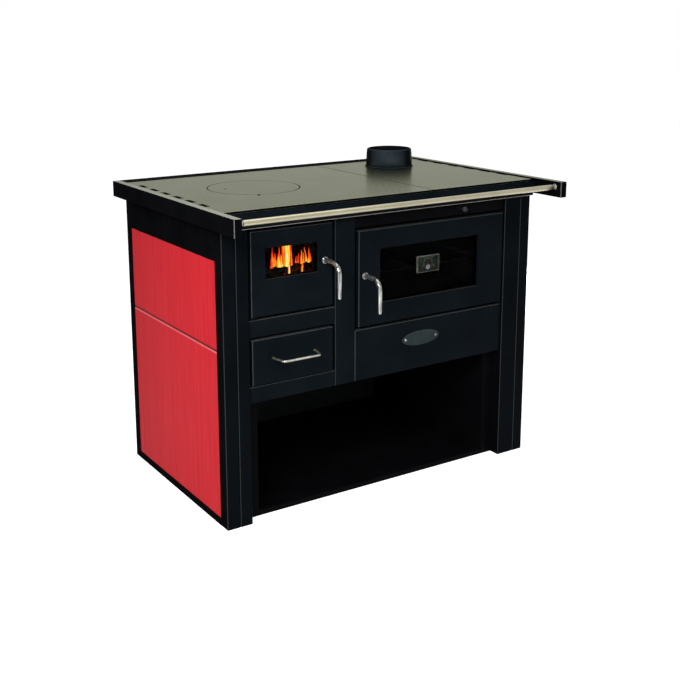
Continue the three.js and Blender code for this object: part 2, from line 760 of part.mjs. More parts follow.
// ---------------------------------------------------------------- firebox
// Bricks stand on the firebox floor round the mouth; the grate drops into the floor's opening.
const floorTop = fireboxFloorHeight + fireboxFloorThickness;
const fireboxRear = innerFrontBack + fireboxDepth;
const brickZ = [floorTop, firebrickTop];
const leftBrickInner = (fireMouth.x[0] + fireMouth.x[1] - fireboxWidth) / 2;
const rightBrickInner = leftBrickInner + fireboxWidth;
const brickY = [innerFrontBack, fireboxRear];
const leftBrick = block([leftBrickInner - firebrickThickness, leftBrickInner], brickY, brickZ);
const rightBrick = block([rightBrickInner, rightBrickInner + firebrickThickness], brickY, brickZ);
const rearBrick = block(
  [leftBrickInner - firebrickThickness, rightBrickInner + firebrickThickness],
  [fireboxRear + runningGap, fireboxRear + firebrickThickness],
  brickZ,
);
addPiece(stove, 'firebrick_left', leftBrick, firebrick);
addPiece(stove, 'firebrick_right', rightBrick, firebrick);
addPiece(stove, 'firebrick_rear', rearBrick, firebrick);

const fireMiddleX = (leftBrickInner + rightBrickInner) / 2;
const fireMiddleY = (innerFrontBack + fireboxRear) / 2;
const floorY = [innerFrontBack, fireboxRear + firebrickThickness];
const pitX = [ashBoxX[0] - ashPitGap, ashBoxX[1] + ashPitGap];
const legZ = [partitionTop, floorTop];
const fireboxFloor = cut(
  join(
    block([-trayInside, ovenDoorLeft - fireboxFloorWall], floorY, [fireboxFloorHeight, floorTop]),
    block([-trayInside, pitX[0]], floorY, legZ),
    block([pitX[1], pitX[1] + fireboxFloorWall], floorY, legZ),
  ),
  block(
    [-trayInside + fireboxFloorWall, pitX[0] - fireboxFloorWall],
    [floorY[0] + fireboxFloorWall, floorY[1] + 1],
    [partitionTop - 1, fireboxFloorHeight],
  ),
  block(
    [fireMiddleX - grateWidth / 2, fireMiddleX + grateWidth / 2],
    [fireMiddleY - grateLength / 2, fireMiddleY + grateLength / 2],
    [fireboxFloorHeight - 1, floorTop + 1],
  ),
);
addPiece(stove, 'firebox_floor', fireboxFloor, innerSteel);

const grateBars = () => {
  const half = { x: grateWidth / 2 - grateFit, y: grateLength / 2 - grateFit };
  const lap = grateBorder / 2;
  const drop = grateThickness - fireboxFloorThickness;
  const body = block(
    [fireMiddleX - half.x, fireMiddleX + half.x],
    [fireMiddleY - half.y, fireMiddleY + half.y],
    [fireboxFloorHeight, fireboxFloorHeight + drop],
  );
  const rim = block(
    [fireMiddleX - half.x - lap, fireMiddleX + half.x + lap],
    [fireMiddleY - half.y - lap, fireMiddleY + half.y + lap],
    [floorTop, fireboxFloorHeight + drop],
  );
  const slots = [];
  const pitch = (2 * (half.x - grateBorder)) / grateBarCount;
  for (let i = 0; i < grateBarCount; i += 1) {
    const middle = fireMiddleX - half.x + grateBorder + pitch * (i + 0.5);
    slots.push(block(
      [middle - grateSlotWidth / 2, middle + grateSlotWidth / 2],
      [fireMiddleY - half.y + grateBorder, fireMiddleY + half.y - grateBorder],
      [fireboxFloorHeight - 1, fireboxFloorHeight + grateThickness],
    ));
  }
  return cut(join(body, rim), ...slots);
};
addPiece(stove, 'grate', grateBars(), castIron);

// ---------------------------------------------------------------- oven
const ovenLeft = ovenMouth.x[0] - thinSheet;
const ovenRight = ovenMouth.x[1] + thinSheet;
const ovenBottom = ovenMouth.z[0] - thinSheet;
const ovenTop = ovenMouth.z[1] + thinSheet;
const ovenRear = innerFrontBack + ovenDepth;
const rackZ = ovenMouth.z[0] + ovenRackRise;
const supportTop = rackZ - rackRodRadius - runningGap;
const supportY = [innerFrontBack, ovenRear - thinSheet / 2];
const rackSupport = (x) => block(x, supportY, [supportTop - rackSupportHeight, supportTop]);
const ovenBox = join(
  cut(
    block([ovenLeft, ovenRight], [innerFrontBack, ovenRear], [ovenBottom, ovenTop]),
    block(ovenMouth.x, [innerFrontBack - 1, ovenRear - thinSheet], ovenMouth.z),
  ),
  rackSupport([ovenMouth.x[0] - thinSheet / 2, ovenMouth.x[0] + rackSupportWidth]),
  rackSupport([ovenMouth.x[1] - rackSupportWidth, ovenMouth.x[1] + thinSheet / 2]),
);
addPiece(stove, 'oven_box', ovenBox, innerSteel);

const rackX = [ovenMouth.x[0] + rackClearance, ovenMouth.x[1] - rackClearance];
const rackY = [innerFrontBack + rackClearance, ovenRear - thinSheet - rackClearance];
const ovenRack = () => {
  const inset = rackRodRadius;
  const rods = [
    bar('x', rackRodRadius, ...rackX, [rackY[0] + inset, rackZ], rackRodSides),
    bar('x', rackRodRadius, ...rackX, [rackY[1] - inset, rackZ], rackRodSides),
    bar('y', rackRodRadius, ...rackY, [rackX[0] + inset, rackZ], rackRodSides),
    bar('y', rackRodRadius, ...rackY, [rackX[1] - inset, rackZ], rackRodSides),
  ];
  const pitch = (rackX[1] - rackX[0]) / (rackBarCount + 1);
  for (let i = 1; i <= rackBarCount; i += 1) {
    const at = [rackX[0] + pitch * i, rackZ];
    rods.push(bar('y', rackBarRadius, rackY[0] + inset, rackY[1] - inset, at, rackBarSides));
  }
  return join(...rods);
};
addPiece(stove, 'oven_rack', ovenRack(), chrome);

// ---------------------------------------------------------------- smoke box and damper
// Two walls round the flue's foot. The damper plate shuts the short way to the flue when pushed in.
const smokeZ = [ovenTop, hobUnder];
const plateZ = [knobHeight - damperPlateHeight / 2, knobHeight + damperPlateHeight / 2];
const plateX0 = knobX - damperPlateWidth / 2;
const plateX1 = knobX + damperPlateWidth / 2;
const smokeBox = cut(
  join(
    block([smokeBoxLeft, trayInside], [smokeWallFront, smokeWallFront + sheet], smokeZ),
    block([smokeBoxLeft, smokeBoxLeft + sheet], [smokeWallFront, rearPanelFront], smokeZ),
  ),
  block(
    [plateX0 + bypassMargin, plateX1 - bypassMargin],
    [smokeWallFront - 1, smokeWallFront + sheet + 1],
    [plateZ[0] + bypassMargin, plateZ[1] - bypassMargin],
  ),
);
addPiece(stove, 'smoke_box_wall', smokeBox, innerSteel);

const knobY = bodyFront - knobReach;
const damperPlateY = [smokeWallFront - runningGap - damperPlateThickness, smokeWallFront - runningGap];
const damperSlide = join(
  bar('y', damperRodRadius, knobY, damperPlateY[1], [knobX, knobHeight], spindleSides),
  block([plateX0, plateX1], damperPlateY, plateZ),
);
const knobSocketY = [knobY - runningGap, knobY + 2 * knobRadius];
const knobSolid = () => {
  const ball = new THREE.SphereGeometry(knobRadius, knobColumns, knobRings);
  ball.translate(knobX, knobY, knobHeight);
  return cut(
    solidFrom(ball),
    bar('y', damperRodRadius + runningGap, ...knobSocketY, [knobX, knobHeight], spindleSides),
  );
};
addPiece(stove, 'damper_slide', damperSlide, innerSteel);
addPiece(stove, 'damper_knob', knobSolid(), castIron);

// ---------------------------------------------------------------- doors
// A door's own frame: X from its hinge edge towards its latch edge (side +1) or the other way
// (side -1), Y from its front face rearwards, Z up from its lower edge.
const door = ({ prefix, side, left, right, bottom, height, window, leverInset, leverHeight }) => {
  const group = new THREE.Group();
  group.position.set(side > 0 ? left : right, doorFront, bottom);
  stove.add(group);
  const width = right - left;
  const across = (from, to) => mirrored([from, to], side);
  const openX = [window.hingeMargin, width - window.latchMargin];
  const openZ = [window.bottomMargin, height - window.topMargin];
  const grown = (range, by) => [range[0] - by, range[1] + by];
  const glassY = [window.recess + runningGap, window.recess + runningGap + glassThickness];
  const leverX = side * (width - leverInset);
  const hingeX = side * hingeInset;

  const hingeHole = bar('z', hingeHoleRadius, -1, height + 1, [hingeX, hingeDepth]);
  const spindleHole = bar('y', spindleHoleRadius, -1, doorDepth + 1, [leverX, leverHeight]);
  const windowHole = block(across(...openX), [-1, doorDepth + 1], openZ);
  const lip = cut(
    block(across(...grown(openX, thinSheet)), [0, window.recess], grown(openZ, thinSheet)),
    windowHole,
  );
  const skin = pan(across(0, width), [0, doorDepth - thinSheet], [0, height], thinSheet);
  const shell = cut(
    join(cut(skin, windowHole), lip),
    hingeHole,
    spindleHole,
  );
  addPiece(group, `${prefix}_door_shell`, shell, blackPaint);

  const liner = cut(
    block(across(0, width), [doorDepth - thinSheet, doorDepth], [0, height]),
    windowHole,
    spindleHole,
  );
  addPiece(group, `${prefix}_door_liner`, liner, innerSteel);
  const pane = (y) => block(across(...grown(openX, glassLap)), y, grown(openZ, glassLap));
  addPiece(group, `${prefix}_door_glass`, pane(glassY), glass);

  const seal = flatFrame(
    across(sealMargin, width - sealMargin),
    [doorDepth, doorDepth + sealDepth],
    [sealMargin, height - sealMargin],
    sealWidth,
  );
  addPiece(group, `${prefix}_door_seal`, seal, ropeSeal);

  const rosette = cut(
    bar('y', rosetteRadius, -rosetteThickness, 0, [leverX, leverHeight], rodSides),
    bar('y', spindleHoleRadius, -rosetteThickness - 1, 1, [leverX, leverHeight]),
  );
  addPiece(group, `${prefix}_rosette`, rosette, chrome);

  const corner = new THREE.Vector3(leverX, -leverReach, leverHeight);
  const path = bentPath([
    new THREE.Vector3(leverX, -rosetteThickness - runningGap, leverHeight),
    corner,
    new THREE.Vector3(leverX, -leverReach, leverHeight - leverDrop),
  ], leverBend);
  const plateBack = innerFrontBack - doorFront;
  const latchY = [plateBack + runningGap, plateBack + runningGap + latchThickness];
  const lever = join(
    bentRod(path, leverRadius, leverSteps, leverSides),
    bar('y', spindleRadius, -rosetteThickness - spindleInGrip, latchY[1], [leverX, leverHeight], spindleSides),
    block(
      [leverX - latchWidth / 2, leverX + latchWidth / 2],
      latchY,
      [leverHeight - latchDrop, leverHeight + latchWidth / 2],
    ),
  );
  addPiece(group, `${prefix}_lever`, lever, chrome);
  return { group, glassBack: glassY[1] };
};

door({
  prefix: 'fire',
  side: 1,
  left: fireDoorLeft,
  right: fireDoorRight,
  bottom: fireDoorBottom,
  height: fireDoorHeight,
  window: fireWindow,
  leverInset: leverInsetFire,
  leverHeight: leverHeightFire,
});
const ovenDoor = door({
  prefix: 'oven',
  side: -1,
  left: ovenDoorLeft,
  right: ovenDoorRight,
  bottom: ovenDoorBottom,
  height: ovenDoorHeight,
  window: ovenWindow,
  leverInset: leverInsetOven,
  leverHeight: leverHeightOven,
});

// Thermometer in a rectangular case behind the oven door's glass.
const thermometer = () => {
  const { group, glassBack } = ovenDoor;
  const front = glassBack + runningGap;
  const dialFace = front + dialRecess;
  const centreX = -thermometerFromHinge;
  const outerX = [centreX - thermometerWidth / 2, centreX + thermometerWidth / 2];
  const outerZ = [thermometerUp - thermometerHeight / 2, thermometerUp + thermometerHeight / 2];
  const caseSolid = cut(
    block(outerX, [front, front + thermometerDepth], outerZ),
    block(
      [outerX[0] + thermometerRim, outerX[1] - thermometerRim],
      [front - 1, dialFace],
      [outerZ[0] + thermometerRim, outerZ[1] - thermometerRim],
    ),
  );
  addPiece(group, 'thermometer_case', caseSolid, brushedSteel);
  const needleY = [dialFace - runningGap - needleThickness, dialFace - runningGap];
  const needle = join(
    bar('y', needleHubRadius, ...needleY, [centreX, thermometerUp], spindleSides),
    block(
      [centreX - needleWidth / 2, centreX + needleWidth / 2],
      needleY,
      [thermometerUp - needleTail, thermometerUp + needleLength],
    ),
  );
  addPiece(group, 'thermometer_needle', needle, needleRed);
};
thermometer();

// ---------------------------------------------------------------- ash drawer
// A pan front with a bail handle, and the sheet box behind it that catches the ash.
const drawer = new THREE.Group();
drawer.position.set(fireDoorLeft, doorFront, drawerBottom);
stove.add(drawer);
const drawerWidth = fireDoorRight - fireDoorLeft;
const frontDepth = innerFrontFace - runningGap - doorFront;
addPiece(
  drawer,
  'ash_drawer_front',
  pan([0, drawerWidth], [0, frontDepth], [0, drawerHeight], thinSheet),
  blackPaint,
);
const boxX = [ashBoxSideGap, drawerWidth - ashBoxSideGap];
const boxY = [thinSheet, frontDepth + ashBoxDepth];
const boxZ = [ashBoxZ[0] - drawerBottom, ashBoxZ[1] - drawerBottom];
const ashBox = cut(
  block(boxX, boxY, boxZ),
  block(
    [boxX[0] + thinSheet, boxX[1] - thinSheet],
    [boxY[0] + thinSheet, boxY[1] - thinSheet],
    [boxZ[0] + thinSheet, boxZ[1] + 1],
  ),
);
addPiece(drawer, 'ash_box', ashBox, innerSteel);
const bailMiddle = drawerWidth / 2;
const bailPath = bentPath([
  new THREE.Vector3(bailMiddle - bailFootSpan / 2, 0, bailRaise),
  new THREE.Vector3(bailMiddle - bailFootSpan / 2, -bailFootLength, bailRaise),
  new THREE.Vector3(bailMiddle - bailBarSpan / 2, -bailReach, bailRaise),
  new THREE.Vector3(bailMiddle + bailBarSpan / 2, -bailReach, bailRaise),
  new THREE.Vector3(bailMiddle + bailFootSpan / 2, -bailFootLength, bailRaise),
  new THREE.Vector3(bailMiddle + bailFootSpan / 2, 0, bailRaise),
], bailBend);
addPiece(drawer, 'drawer_bail', bentRod(bailPath, bailRadius, bailSteps, bailSides), chrome);

export default stove;
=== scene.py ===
"""Looks for the wood cookstove: the finish of every sheet, casting, tile and polished fitting,
the fire behind its window, and a plain pale studio. Metres, +Z up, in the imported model's frame."""

import json
import math

import bmesh
import bpy
from mathutils import Matrix, Vector, noise

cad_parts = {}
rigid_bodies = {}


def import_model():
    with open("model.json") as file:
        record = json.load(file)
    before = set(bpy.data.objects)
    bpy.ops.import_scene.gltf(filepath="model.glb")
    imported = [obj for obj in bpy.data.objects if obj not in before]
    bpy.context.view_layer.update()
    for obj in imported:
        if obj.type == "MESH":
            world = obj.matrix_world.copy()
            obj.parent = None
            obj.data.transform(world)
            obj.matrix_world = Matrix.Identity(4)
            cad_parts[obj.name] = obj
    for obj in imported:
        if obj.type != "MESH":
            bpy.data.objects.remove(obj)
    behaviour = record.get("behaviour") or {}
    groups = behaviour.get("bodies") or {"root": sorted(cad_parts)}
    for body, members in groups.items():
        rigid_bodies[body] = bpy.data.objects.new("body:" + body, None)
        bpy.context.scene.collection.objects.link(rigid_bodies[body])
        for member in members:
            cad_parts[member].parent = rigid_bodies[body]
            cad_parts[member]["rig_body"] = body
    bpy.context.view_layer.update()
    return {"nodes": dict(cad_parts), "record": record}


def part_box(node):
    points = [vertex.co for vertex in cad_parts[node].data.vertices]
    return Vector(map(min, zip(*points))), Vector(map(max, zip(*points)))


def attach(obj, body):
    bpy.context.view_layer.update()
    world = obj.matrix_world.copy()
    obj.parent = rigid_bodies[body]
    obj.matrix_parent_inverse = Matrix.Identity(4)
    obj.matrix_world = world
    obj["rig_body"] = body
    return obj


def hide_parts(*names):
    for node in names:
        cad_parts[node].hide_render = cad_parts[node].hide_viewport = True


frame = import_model()
nodes = frame["nodes"]
slot_of = {part["node"]: part["material_slot"] for part in frame["record"]["subparts"]}

MM = 0.001
WELD = 1e-6
TURN = 2 * math.pi
# The row of vents along each side of the hob.
VENT_X, VENT_Y, VENT_PITCH, VENT_COUNT = 503 * MM, -149 * MM, 77.5 * MM, 6
VENT_LENGTH, VENT_WIDTH = 40 * MM, 7 * MM
# The painted shade strips along the hob's rear and right edges, each from its full width to its soft end.
REAR_SHADE_STRIP, RIGHT_SHADE_STRIP = (22 * MM, 28 * MM), (13 * MM, 16 * MM)
# The radius of the dial's scale ring, and the width of its case's frame.
DIAL_RING, DIAL_FRAME = 15.5 * MM, 1.9 * MM
# How far the dial's scale reaches to each side, in degrees.
DIAL_SWEEP = 110
# The floor's own glow to the eye, and the share of the white surroundings that lights the stove.
FLOOR_LIFT = 0.8
WORLD_LIGHT = 0.3


def extent(node):
    """A node's lowest corner, highest corner and centre."""
    low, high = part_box(node)
    return low, high, (low + high) / 2


def show(item):
    bpy.context.scene.collection.objects.link(item)


# ---- camera
def make_camera():
    """The photograph's view, from the front left and a little above the worktop."""
    yaw, pitch, roll = (math.radians(angle) for angle in (31.85, 12.11, -0.38))
    ahead = Vector((math.sin(yaw) * math.cos(pitch), math.cos(yaw) * math.cos(pitch), -math.sin(pitch)))
    level = Vector((math.cos(yaw), -math.sin(yaw), 0))
    upright = level.cross(ahead)
    across = level * math.cos(roll) + upright * math.sin(roll)
    above = upright * math.cos(roll) - level * math.sin(roll)
    data = bpy.data.cameras.new("camera")
    data.sensor_width, data.lens = 36, 56.02
    data.shift_x, data.shift_y = 0.0441, -0.1324
    camera = bpy.data.objects.new("camera", data)
    turn = Matrix((across, above, -ahead)).transposed().to_4x4()
    camera.matrix_world = Matrix.Translation((-1.6745, -2.5444, 1.2998)) @ turn
    show(camera)
    bpy.context.scene.camera = camera


make_camera()


# ---- shader nodes
def is_output(value):
    return isinstance(value, bpy.types.NodeSocket)


def feed(socket, value):
    """Gives a socket a constant, or the output that feeds it."""
    if is_output(value):
        socket.id_data.links.new(value, socket)
    else:
        socket.default_value = value


def new_finish(name):
    """A new material and its node tree."""
    material = bpy.data.materials.new(name)
    material.use_nodes = True
    return material, material.node_tree


def add(kind, inputs=None, tree=None, **settings):
    """Adds a shader node of a kind to a tree, or beside the output that feeds it."""
    inputs = inputs or {}
    tree = tree or next(value.id_data for value in inputs.values() if is_output(value))
    made = tree.nodes.new("ShaderNode" + kind)
    for name, value in settings.items():
        setattr(made, name, value)
    for name, value in inputs.items():
        feed(made.inputs[name], value)
    return made


def place(tree, stretch=(1, 1, 1), centre=(0, 0, 0)):
    """Object coordinates, stretched by an amount for each axis, from a centre."""
    source = add("TexCoord", tree=tree).outputs["Object"]
    location = [-c * s for c, s in zip(centre, stretch)]
    inputs = {"Vector": source, "Scale": stretch, "Location": location}
    return add("Mapping", inputs).outputs["Vector"]


def parts_of(vector):
    """The "X", "Y" and "Z" of a vector."""
    return add("SeparateXYZ", {0: vector}).outputs


def length_of(vector):
    return add("VectorMath", {0: vector}, operation="LENGTH").outputs["Value"]


def grain(where, scale, detail=2.0, rough=0.5):
    """Noise between 0 and 1."""
    inputs = {"Vector": where, "Scale": scale, "Detail": detail, "Roughness": rough}
    return add("TexNoise", inputs).outputs[0]


def spread(value, from_low, from_high, to_low, to_high):
    """A value moved from one range to another and held inside it."""
    inputs = {
        "Value": value, "From Min": from_low, "From Max": from_high, "To Min": to_low, "To Max": to_high,
    }
    return add("MapRange", inputs).outputs[0]


def ramp(value, *stops):
    """A colour ramp of (position, (red, green, blue)) stops."""
    made = add("ValToRGB", {"Fac": value})
    elements = made.color_ramp.elements
    while len(elements) < len(stops):
        elements.new(0.5)
    for element, (position, colour) in zip(elements, stops):
        element.position = position
        element.color = (*colour, 1)
    return made.outputs["Color"]


def blend(amount, first, second):
    """A colour mixed from the first to the second by an amount."""
    made = add("Mix", {"Factor": amount}, data_type="RGBA")
    for name, value in (("A", first), ("B", second)):
        socket = [s for s in made.inputs if s.name == name and s.type == "RGBA"][0]
        feed(socket, value if is_output(value) else (*value, 1))
    return [s for s in made.outputs if s.type == "RGBA"][0]


def calculate(operation, first, second=0.0, held=False):
    inputs = {0: first, 1: second}
    return add("Math", inputs, operation=operation, use_clamp=held).outputs[0]


def less(first, second):
    return calculate("SUBTRACT", first, second)


def times(first, second):
    return calculate("MULTIPLY", first, second)


def apart(first, second):
    """How far two values lie from each other."""
    return calculate("ABSOLUTE", less(first, second))


def largest(first, *others):
    for other in others:
        first = calculate("MAXIMUM", first, other)
    return first


def finished(material, relief=None, **values):
    """Sets the surface shader's sockets by their names in lower case with underscores.

    Its relief is a height pattern, a strength, and a depth in metres."""
    if relief:
        inputs = dict(zip(("Height", "Strength", "Distance"), relief))
        values["normal"] = add("Bump", inputs).outputs["Normal"]
    for socket in material.node_tree.nodes["Principled BSDF"].inputs:
        key = socket.name.lower().replace(" ", "_")
        if key in values:
            feed(socket, values.pop(key))
    assert not values, values
    return material


def upward(tree):
    """The upward part of a face's direction, between -1 and 1."""
    return parts_of(add("NewGeometry", tree=tree).outputs["Normal"])["Z"]


def facing_up(tree, steep=0.8, full=0.98):
    """1 on faces that look up, or that look down where full is below 0, and 0 past steep."""
    return spread(upward(tree), steep, full, 0, 1)


def seen_by_eye(tree):
    """1 for what the camera sees straight, mirrored or through glass, and 0 for other light."""
    rays = add("LightPath", tree=tree).outputs
    return largest(*(rays[f"Is {kind} Ray"] for kind in ("Camera", "Glossy", "Transmission")))


# ---- finishes
# The near black of the hob's dark seams and of its painted shade.
SEAM_AND_SHADE_BLACK = (0.002, 0.002, 0.002)
COOL_GLOSS = (0.72, 0.9, 1.0, 1)


def paint(name, dark, light, gloss=0.4, shine=0.012, top_sheen=None):
    """Heat-proof paint on sheet steel: a fine orange peel, soft cloudiness and rubbed patches, and, where
    a top sheen is given, that paler tone on faces that look up, a painted reflection of the light from
    above.
    """
    material, tree = new_finish(name)
    where = place(tree)
    colour = ramp(grain(where, 9, 4, 0.55), (0.3, dark), (0.75, light))
    # Faces that look up take the paler top tone, a painted reflection of the light from above.
    if top_sheen:
        colour = blend(facing_up(tree), colour, top_sheen)
    rubbed = grain(place(tree, (1, 1, 0.25)), 34, 3, 0.6)
    rough = spread(rubbed, 0.3, 0.7, gloss - 0.05, gloss + 0.09)
    return finished(
        material, base_color=colour, roughness=rough, specular_ior_level=shine,
        relief=(grain(where, 1400, 2), 0.16, 0.0002),
    )


def edge_highlight_paint(name, low, high):
    """The paint on a folded edge, a little brighter and patchy: on most folds a painted highlight where
    they face the light.
    """
    material, tree = new_finish(name)
    edge_patches = grain(place(tree), 120, 4, 0.7)
    colour, rough = ramp(edge_patches, (0.3, low), (0.75, high)), spread(edge_patches, 0.3, 0.7, 0.26, 0.4)
    return finished(material, base_color=colour, roughness=rough, specular_ior_level=0.2)


def ground_steel():
    """The hob's ground steel: an even olive sheen, a painted highlight along its front edge, dark seams,
    and painted shade on the sides of its slots and rims, round its vents and along its rear and right
    edges.
    """
    material, tree = new_finish("ground hob steel")
    where = place(tree)
    fine = grain(where, 230, 4, 0.7)
    toned = ramp(grain(where, 6, 5, 0.65), (0.3, (0.145, 0.154, 0.112)), (0.7, (0.182, 0.19, 0.146)))
    colour = blend(spread(fine, 0.35, 0.65, 0, 0.35), toned, (0.2, 0.21, 0.16))
    front_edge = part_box("hob_plate_left")[0].y
    # A paler line along the plates' front edge, a painted highlight.
    painted_edge_highlight = spread(parts_of(where)["Y"], front_edge + 2 * MM, front_edge + 6 * MM, 1, 0)
    colour = blend(painted_edge_highlight, colour, (0.29, 0.3, 0.24))
    # Faces that don't look up are painted near black, painted shade on the sides of the slots and of the
    # plates' rims.
    shaded_walls = spread(calculate("ABSOLUTE", upward(tree)), 0.3, 0.75, 1, 0)
    seams_and_shade = largest(shaded_walls, hob_seams_and_shade(tree))
    rough = calculate("ADD", spread(fine, 0.3, 0.7, 0.22, 0.33), times(seams_and_shade, 0.5), True)
    return finished(
        material, base_color=blend(seams_and_shade, colour, SEAM_AND_SHADE_BLACK), metallic=less(1.0, seams_and_shade),
        roughness=rough, specular_ior_level=0.001, specular_tint=(0.57, 0.58, 0.5, 1),
    )


def hob_seams_and_shade(tree):
    """1 along the lid's groove and the plates' seam, and for painted shade round the vents' rims and in
    strips along the rear and right edges.
    """
    lid_low, lid_high, lid_centre = extent("ring_lid")
    from_lid = length_of(place(tree, (1, 1, 0), lid_centre))
    off_ring = apart(from_lid, (lid_high.x - lid_low.x) / 2 + 0.5 * MM)
    point = parts_of(place(tree))
    patchy = spread(grain(place(tree), 9, 2), 0.35, 0.6, 0.6, 1.0)
    ring = times(spread(off_ring, 1.0 * MM, 2.4 * MM, 1, 0), patchy)
    off_seam = apart(point["X"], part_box("hob_plate_left")[1].x + 0.5 * MM)
    seam = spread(off_seam, 1.2 * MM, 2.6 * MM, 0.9, 0)
    # Painted shade round each vent, beyond its hole.
    off_row = apart(calculate("ABSOLUTE", point["X"]), VENT_X)
    along = less(point["Y"], VENT_Y)
    row = {0: along, 1: VENT_PITCH / 2, 2: -VENT_PITCH / 2}
    off_vent = calculate("ABSOLUTE", add("Math", row, operation="WRAP").outputs[0])
    middle = VENT_PITCH * (VENT_COUNT - 1) / 2
    beside = spread(off_row, VENT_WIDTH / 2 + 3 * MM, VENT_WIDTH / 2 + 4.5 * MM, 1, 0)
    beyond = spread(off_vent, VENT_LENGTH / 2 + 2 * MM, VENT_LENGTH / 2 + 3.5 * MM, 1, 0)
    in_row = spread(apart(along, middle), middle + VENT_PITCH * 0.4, middle + VENT_PITCH * 0.45, 1, 0)
    vents = times(times(beside, beyond), in_row)
    right_edge, rear_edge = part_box("hob_plate_right")[1].xy
    # Painted shade in strips along the rear and right edges.
    rear_shade = spread(less(rear_edge, point["Y"]), *REAR_SHADE_STRIP, 1, 0)
    right_shade = spread(less(right_edge, point["X"]), *RIGHT_SHADE_STRIP, 1, 0)
    return largest(ring, seam, vents, rear_shade, right_shade)


def beside_joint(distance, full, gone):
    """1 from the tiles' joint out to a full distance, and 0 from where it is gone."""
    return times(spread(distance, -MM, 0, 0, 1), spread(distance, full, gone, 1, 0))


def glazed_tile():
    """Red glazed tile: very fine vertical striations, painted shade darker towards the rear, a painted
    highlight on the lower tile's top edge and on faces that look up, and painted shade above the joint.
    """
    material, tree = new_finish("striated red glaze")
    fine = grain(place(tree, (1, 1, 0.01)), 760, 3, 0.6)
    broad = grain(place(tree, (1, 1, 0.02)), 120, 3, 0.6)
    striped = calculate("ADD", times(fine, 0.6), times(broad, 0.4))
    deep, middle, bright = (0.46, 0.009, 0.017), (0.585, 0.015, 0.025), (0.7, 0.034, 0.044)
    colour = ramp(striped, (0.3, deep), (0.5, middle), (0.72, bright))
    colour = blend(spread(grain(place(tree), 7, 3, 0.5), 0.35, 0.7, 0, 0.25), colour, middle)
    point = parts_of(place(tree))
    lower_top, upper_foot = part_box("tile_left_lower")[1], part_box("tile_left_upper")[0]
    # Darker towards the rear, painted shade away from the lamps.
    colour = blend(spread(point["Y"], 0, lower_top.y, 0, 0.35), colour, (0.4, 0.008, 0.015))
    # A paler line on the lower tile's top edge, a painted highlight; a dark line under the upper tile,
    # painted shade.
    lit = beside_joint(less(lower_top.z, point["Z"]), 2 * MM, 5 * MM)
    shaded = beside_joint(less(point["Z"], upper_foot.z), 4 * MM, 6.5 * MM)
    colour = blend(lit, colour, (0.78, 0.13, 0.15))
    colour = blend(shaded, colour, (0.1, 0.003, 0.005))
    # Faces that look up are painted paler, a painted highlight from above.
    colour = blend(facing_up(tree, 0.25), colour, (0.8, 0.17, 0.19))
    rough = spread(striped, 0.3, 0.7, 0.42, 0.3)
    return finished(
        material, base_color=colour, roughness=rough, specular_ior_level=0.015,
        relief=(striped, 0.3, 0.0003),
    )


def polished(name, low, high, roughness, reflection_streaks=0.0, along=(1, 1, 0.05), dark_below=False):
    """Polished bright metal, with handling marks, darker streak lines drawn along a rod's length as
    painted reflections of dark surroundings, and, where asked, painted shade on faces that look down.
    """
    material, tree = new_finish(name)
    marks = grain(place(tree), 240, 4, 0.7)
    colour = ramp(grain(place(tree), 40, 2, 0.5), (0.3, low), (0.7, high))
    # Dark streak lines along the rod, painted reflections.
    if reflection_streaks:
        shade = spread(grain(place(tree, along), 330, 2, 0.5), 0.42, 0.6, 0, reflection_streaks)
        colour = blend(shade, colour, (0.05, 0.052, 0.05))
    # Faces that look down are painted dark, painted shade under the rod.
    if dark_below:
        colour = blend(facing_up(tree, 0.25, -0.5), colour, (0.03, 0.03, 0.03))
    rough = spread(marks, 0.3, 0.7, roughness * 0.8, roughness * 1.3)
    return finished(
        material, base_color=colour, roughness=rough, metallic=0.8, relief=(marks, 0.04, 0.0001),
    )


def drawn_bar():
    """The towel bar's brushed steel, drawn along its length."""
    material, tree = new_finish("brushed bar steel")
    lines = grain(place(tree, (0.02, 1, 1)), 1800, 3, 0.7)
    warm = ramp(grain(place(tree), 12, 2, 0.5), (0.3, (0.31, 0.285, 0.19)), (0.7, (0.4, 0.37, 0.26)))
    colour = blend(spread(lines, 0.35, 0.65, 0, 0.4), warm, (0.56, 0.53, 0.4))
    return finished(
        material, base_color=colour, roughness=spread(lines, 0.3, 0.7, 0.24, 0.38), metallic=1.0,
        relief=(lines, 0.08, 0.0001),
    )


def casting(name, dark, light, shine=0.14):
    """Blacked cast iron: a sandy skin with soft highlights."""
    material, tree = new_finish(name)
    where = place(tree)
    sand = grain(where, 700, 3, 0.6)
    return finished(
        material, base_color=ramp(grain(where, 22, 4, 0.6), (0.3, dark), (0.75, light)),
        roughness=spread(sand, 0.3, 0.7, 0.22, 0.34), specular_ior_level=shine,
        specular_tint=COOL_GLOSS, relief=(sand, 0.1, 0.0001),
    )


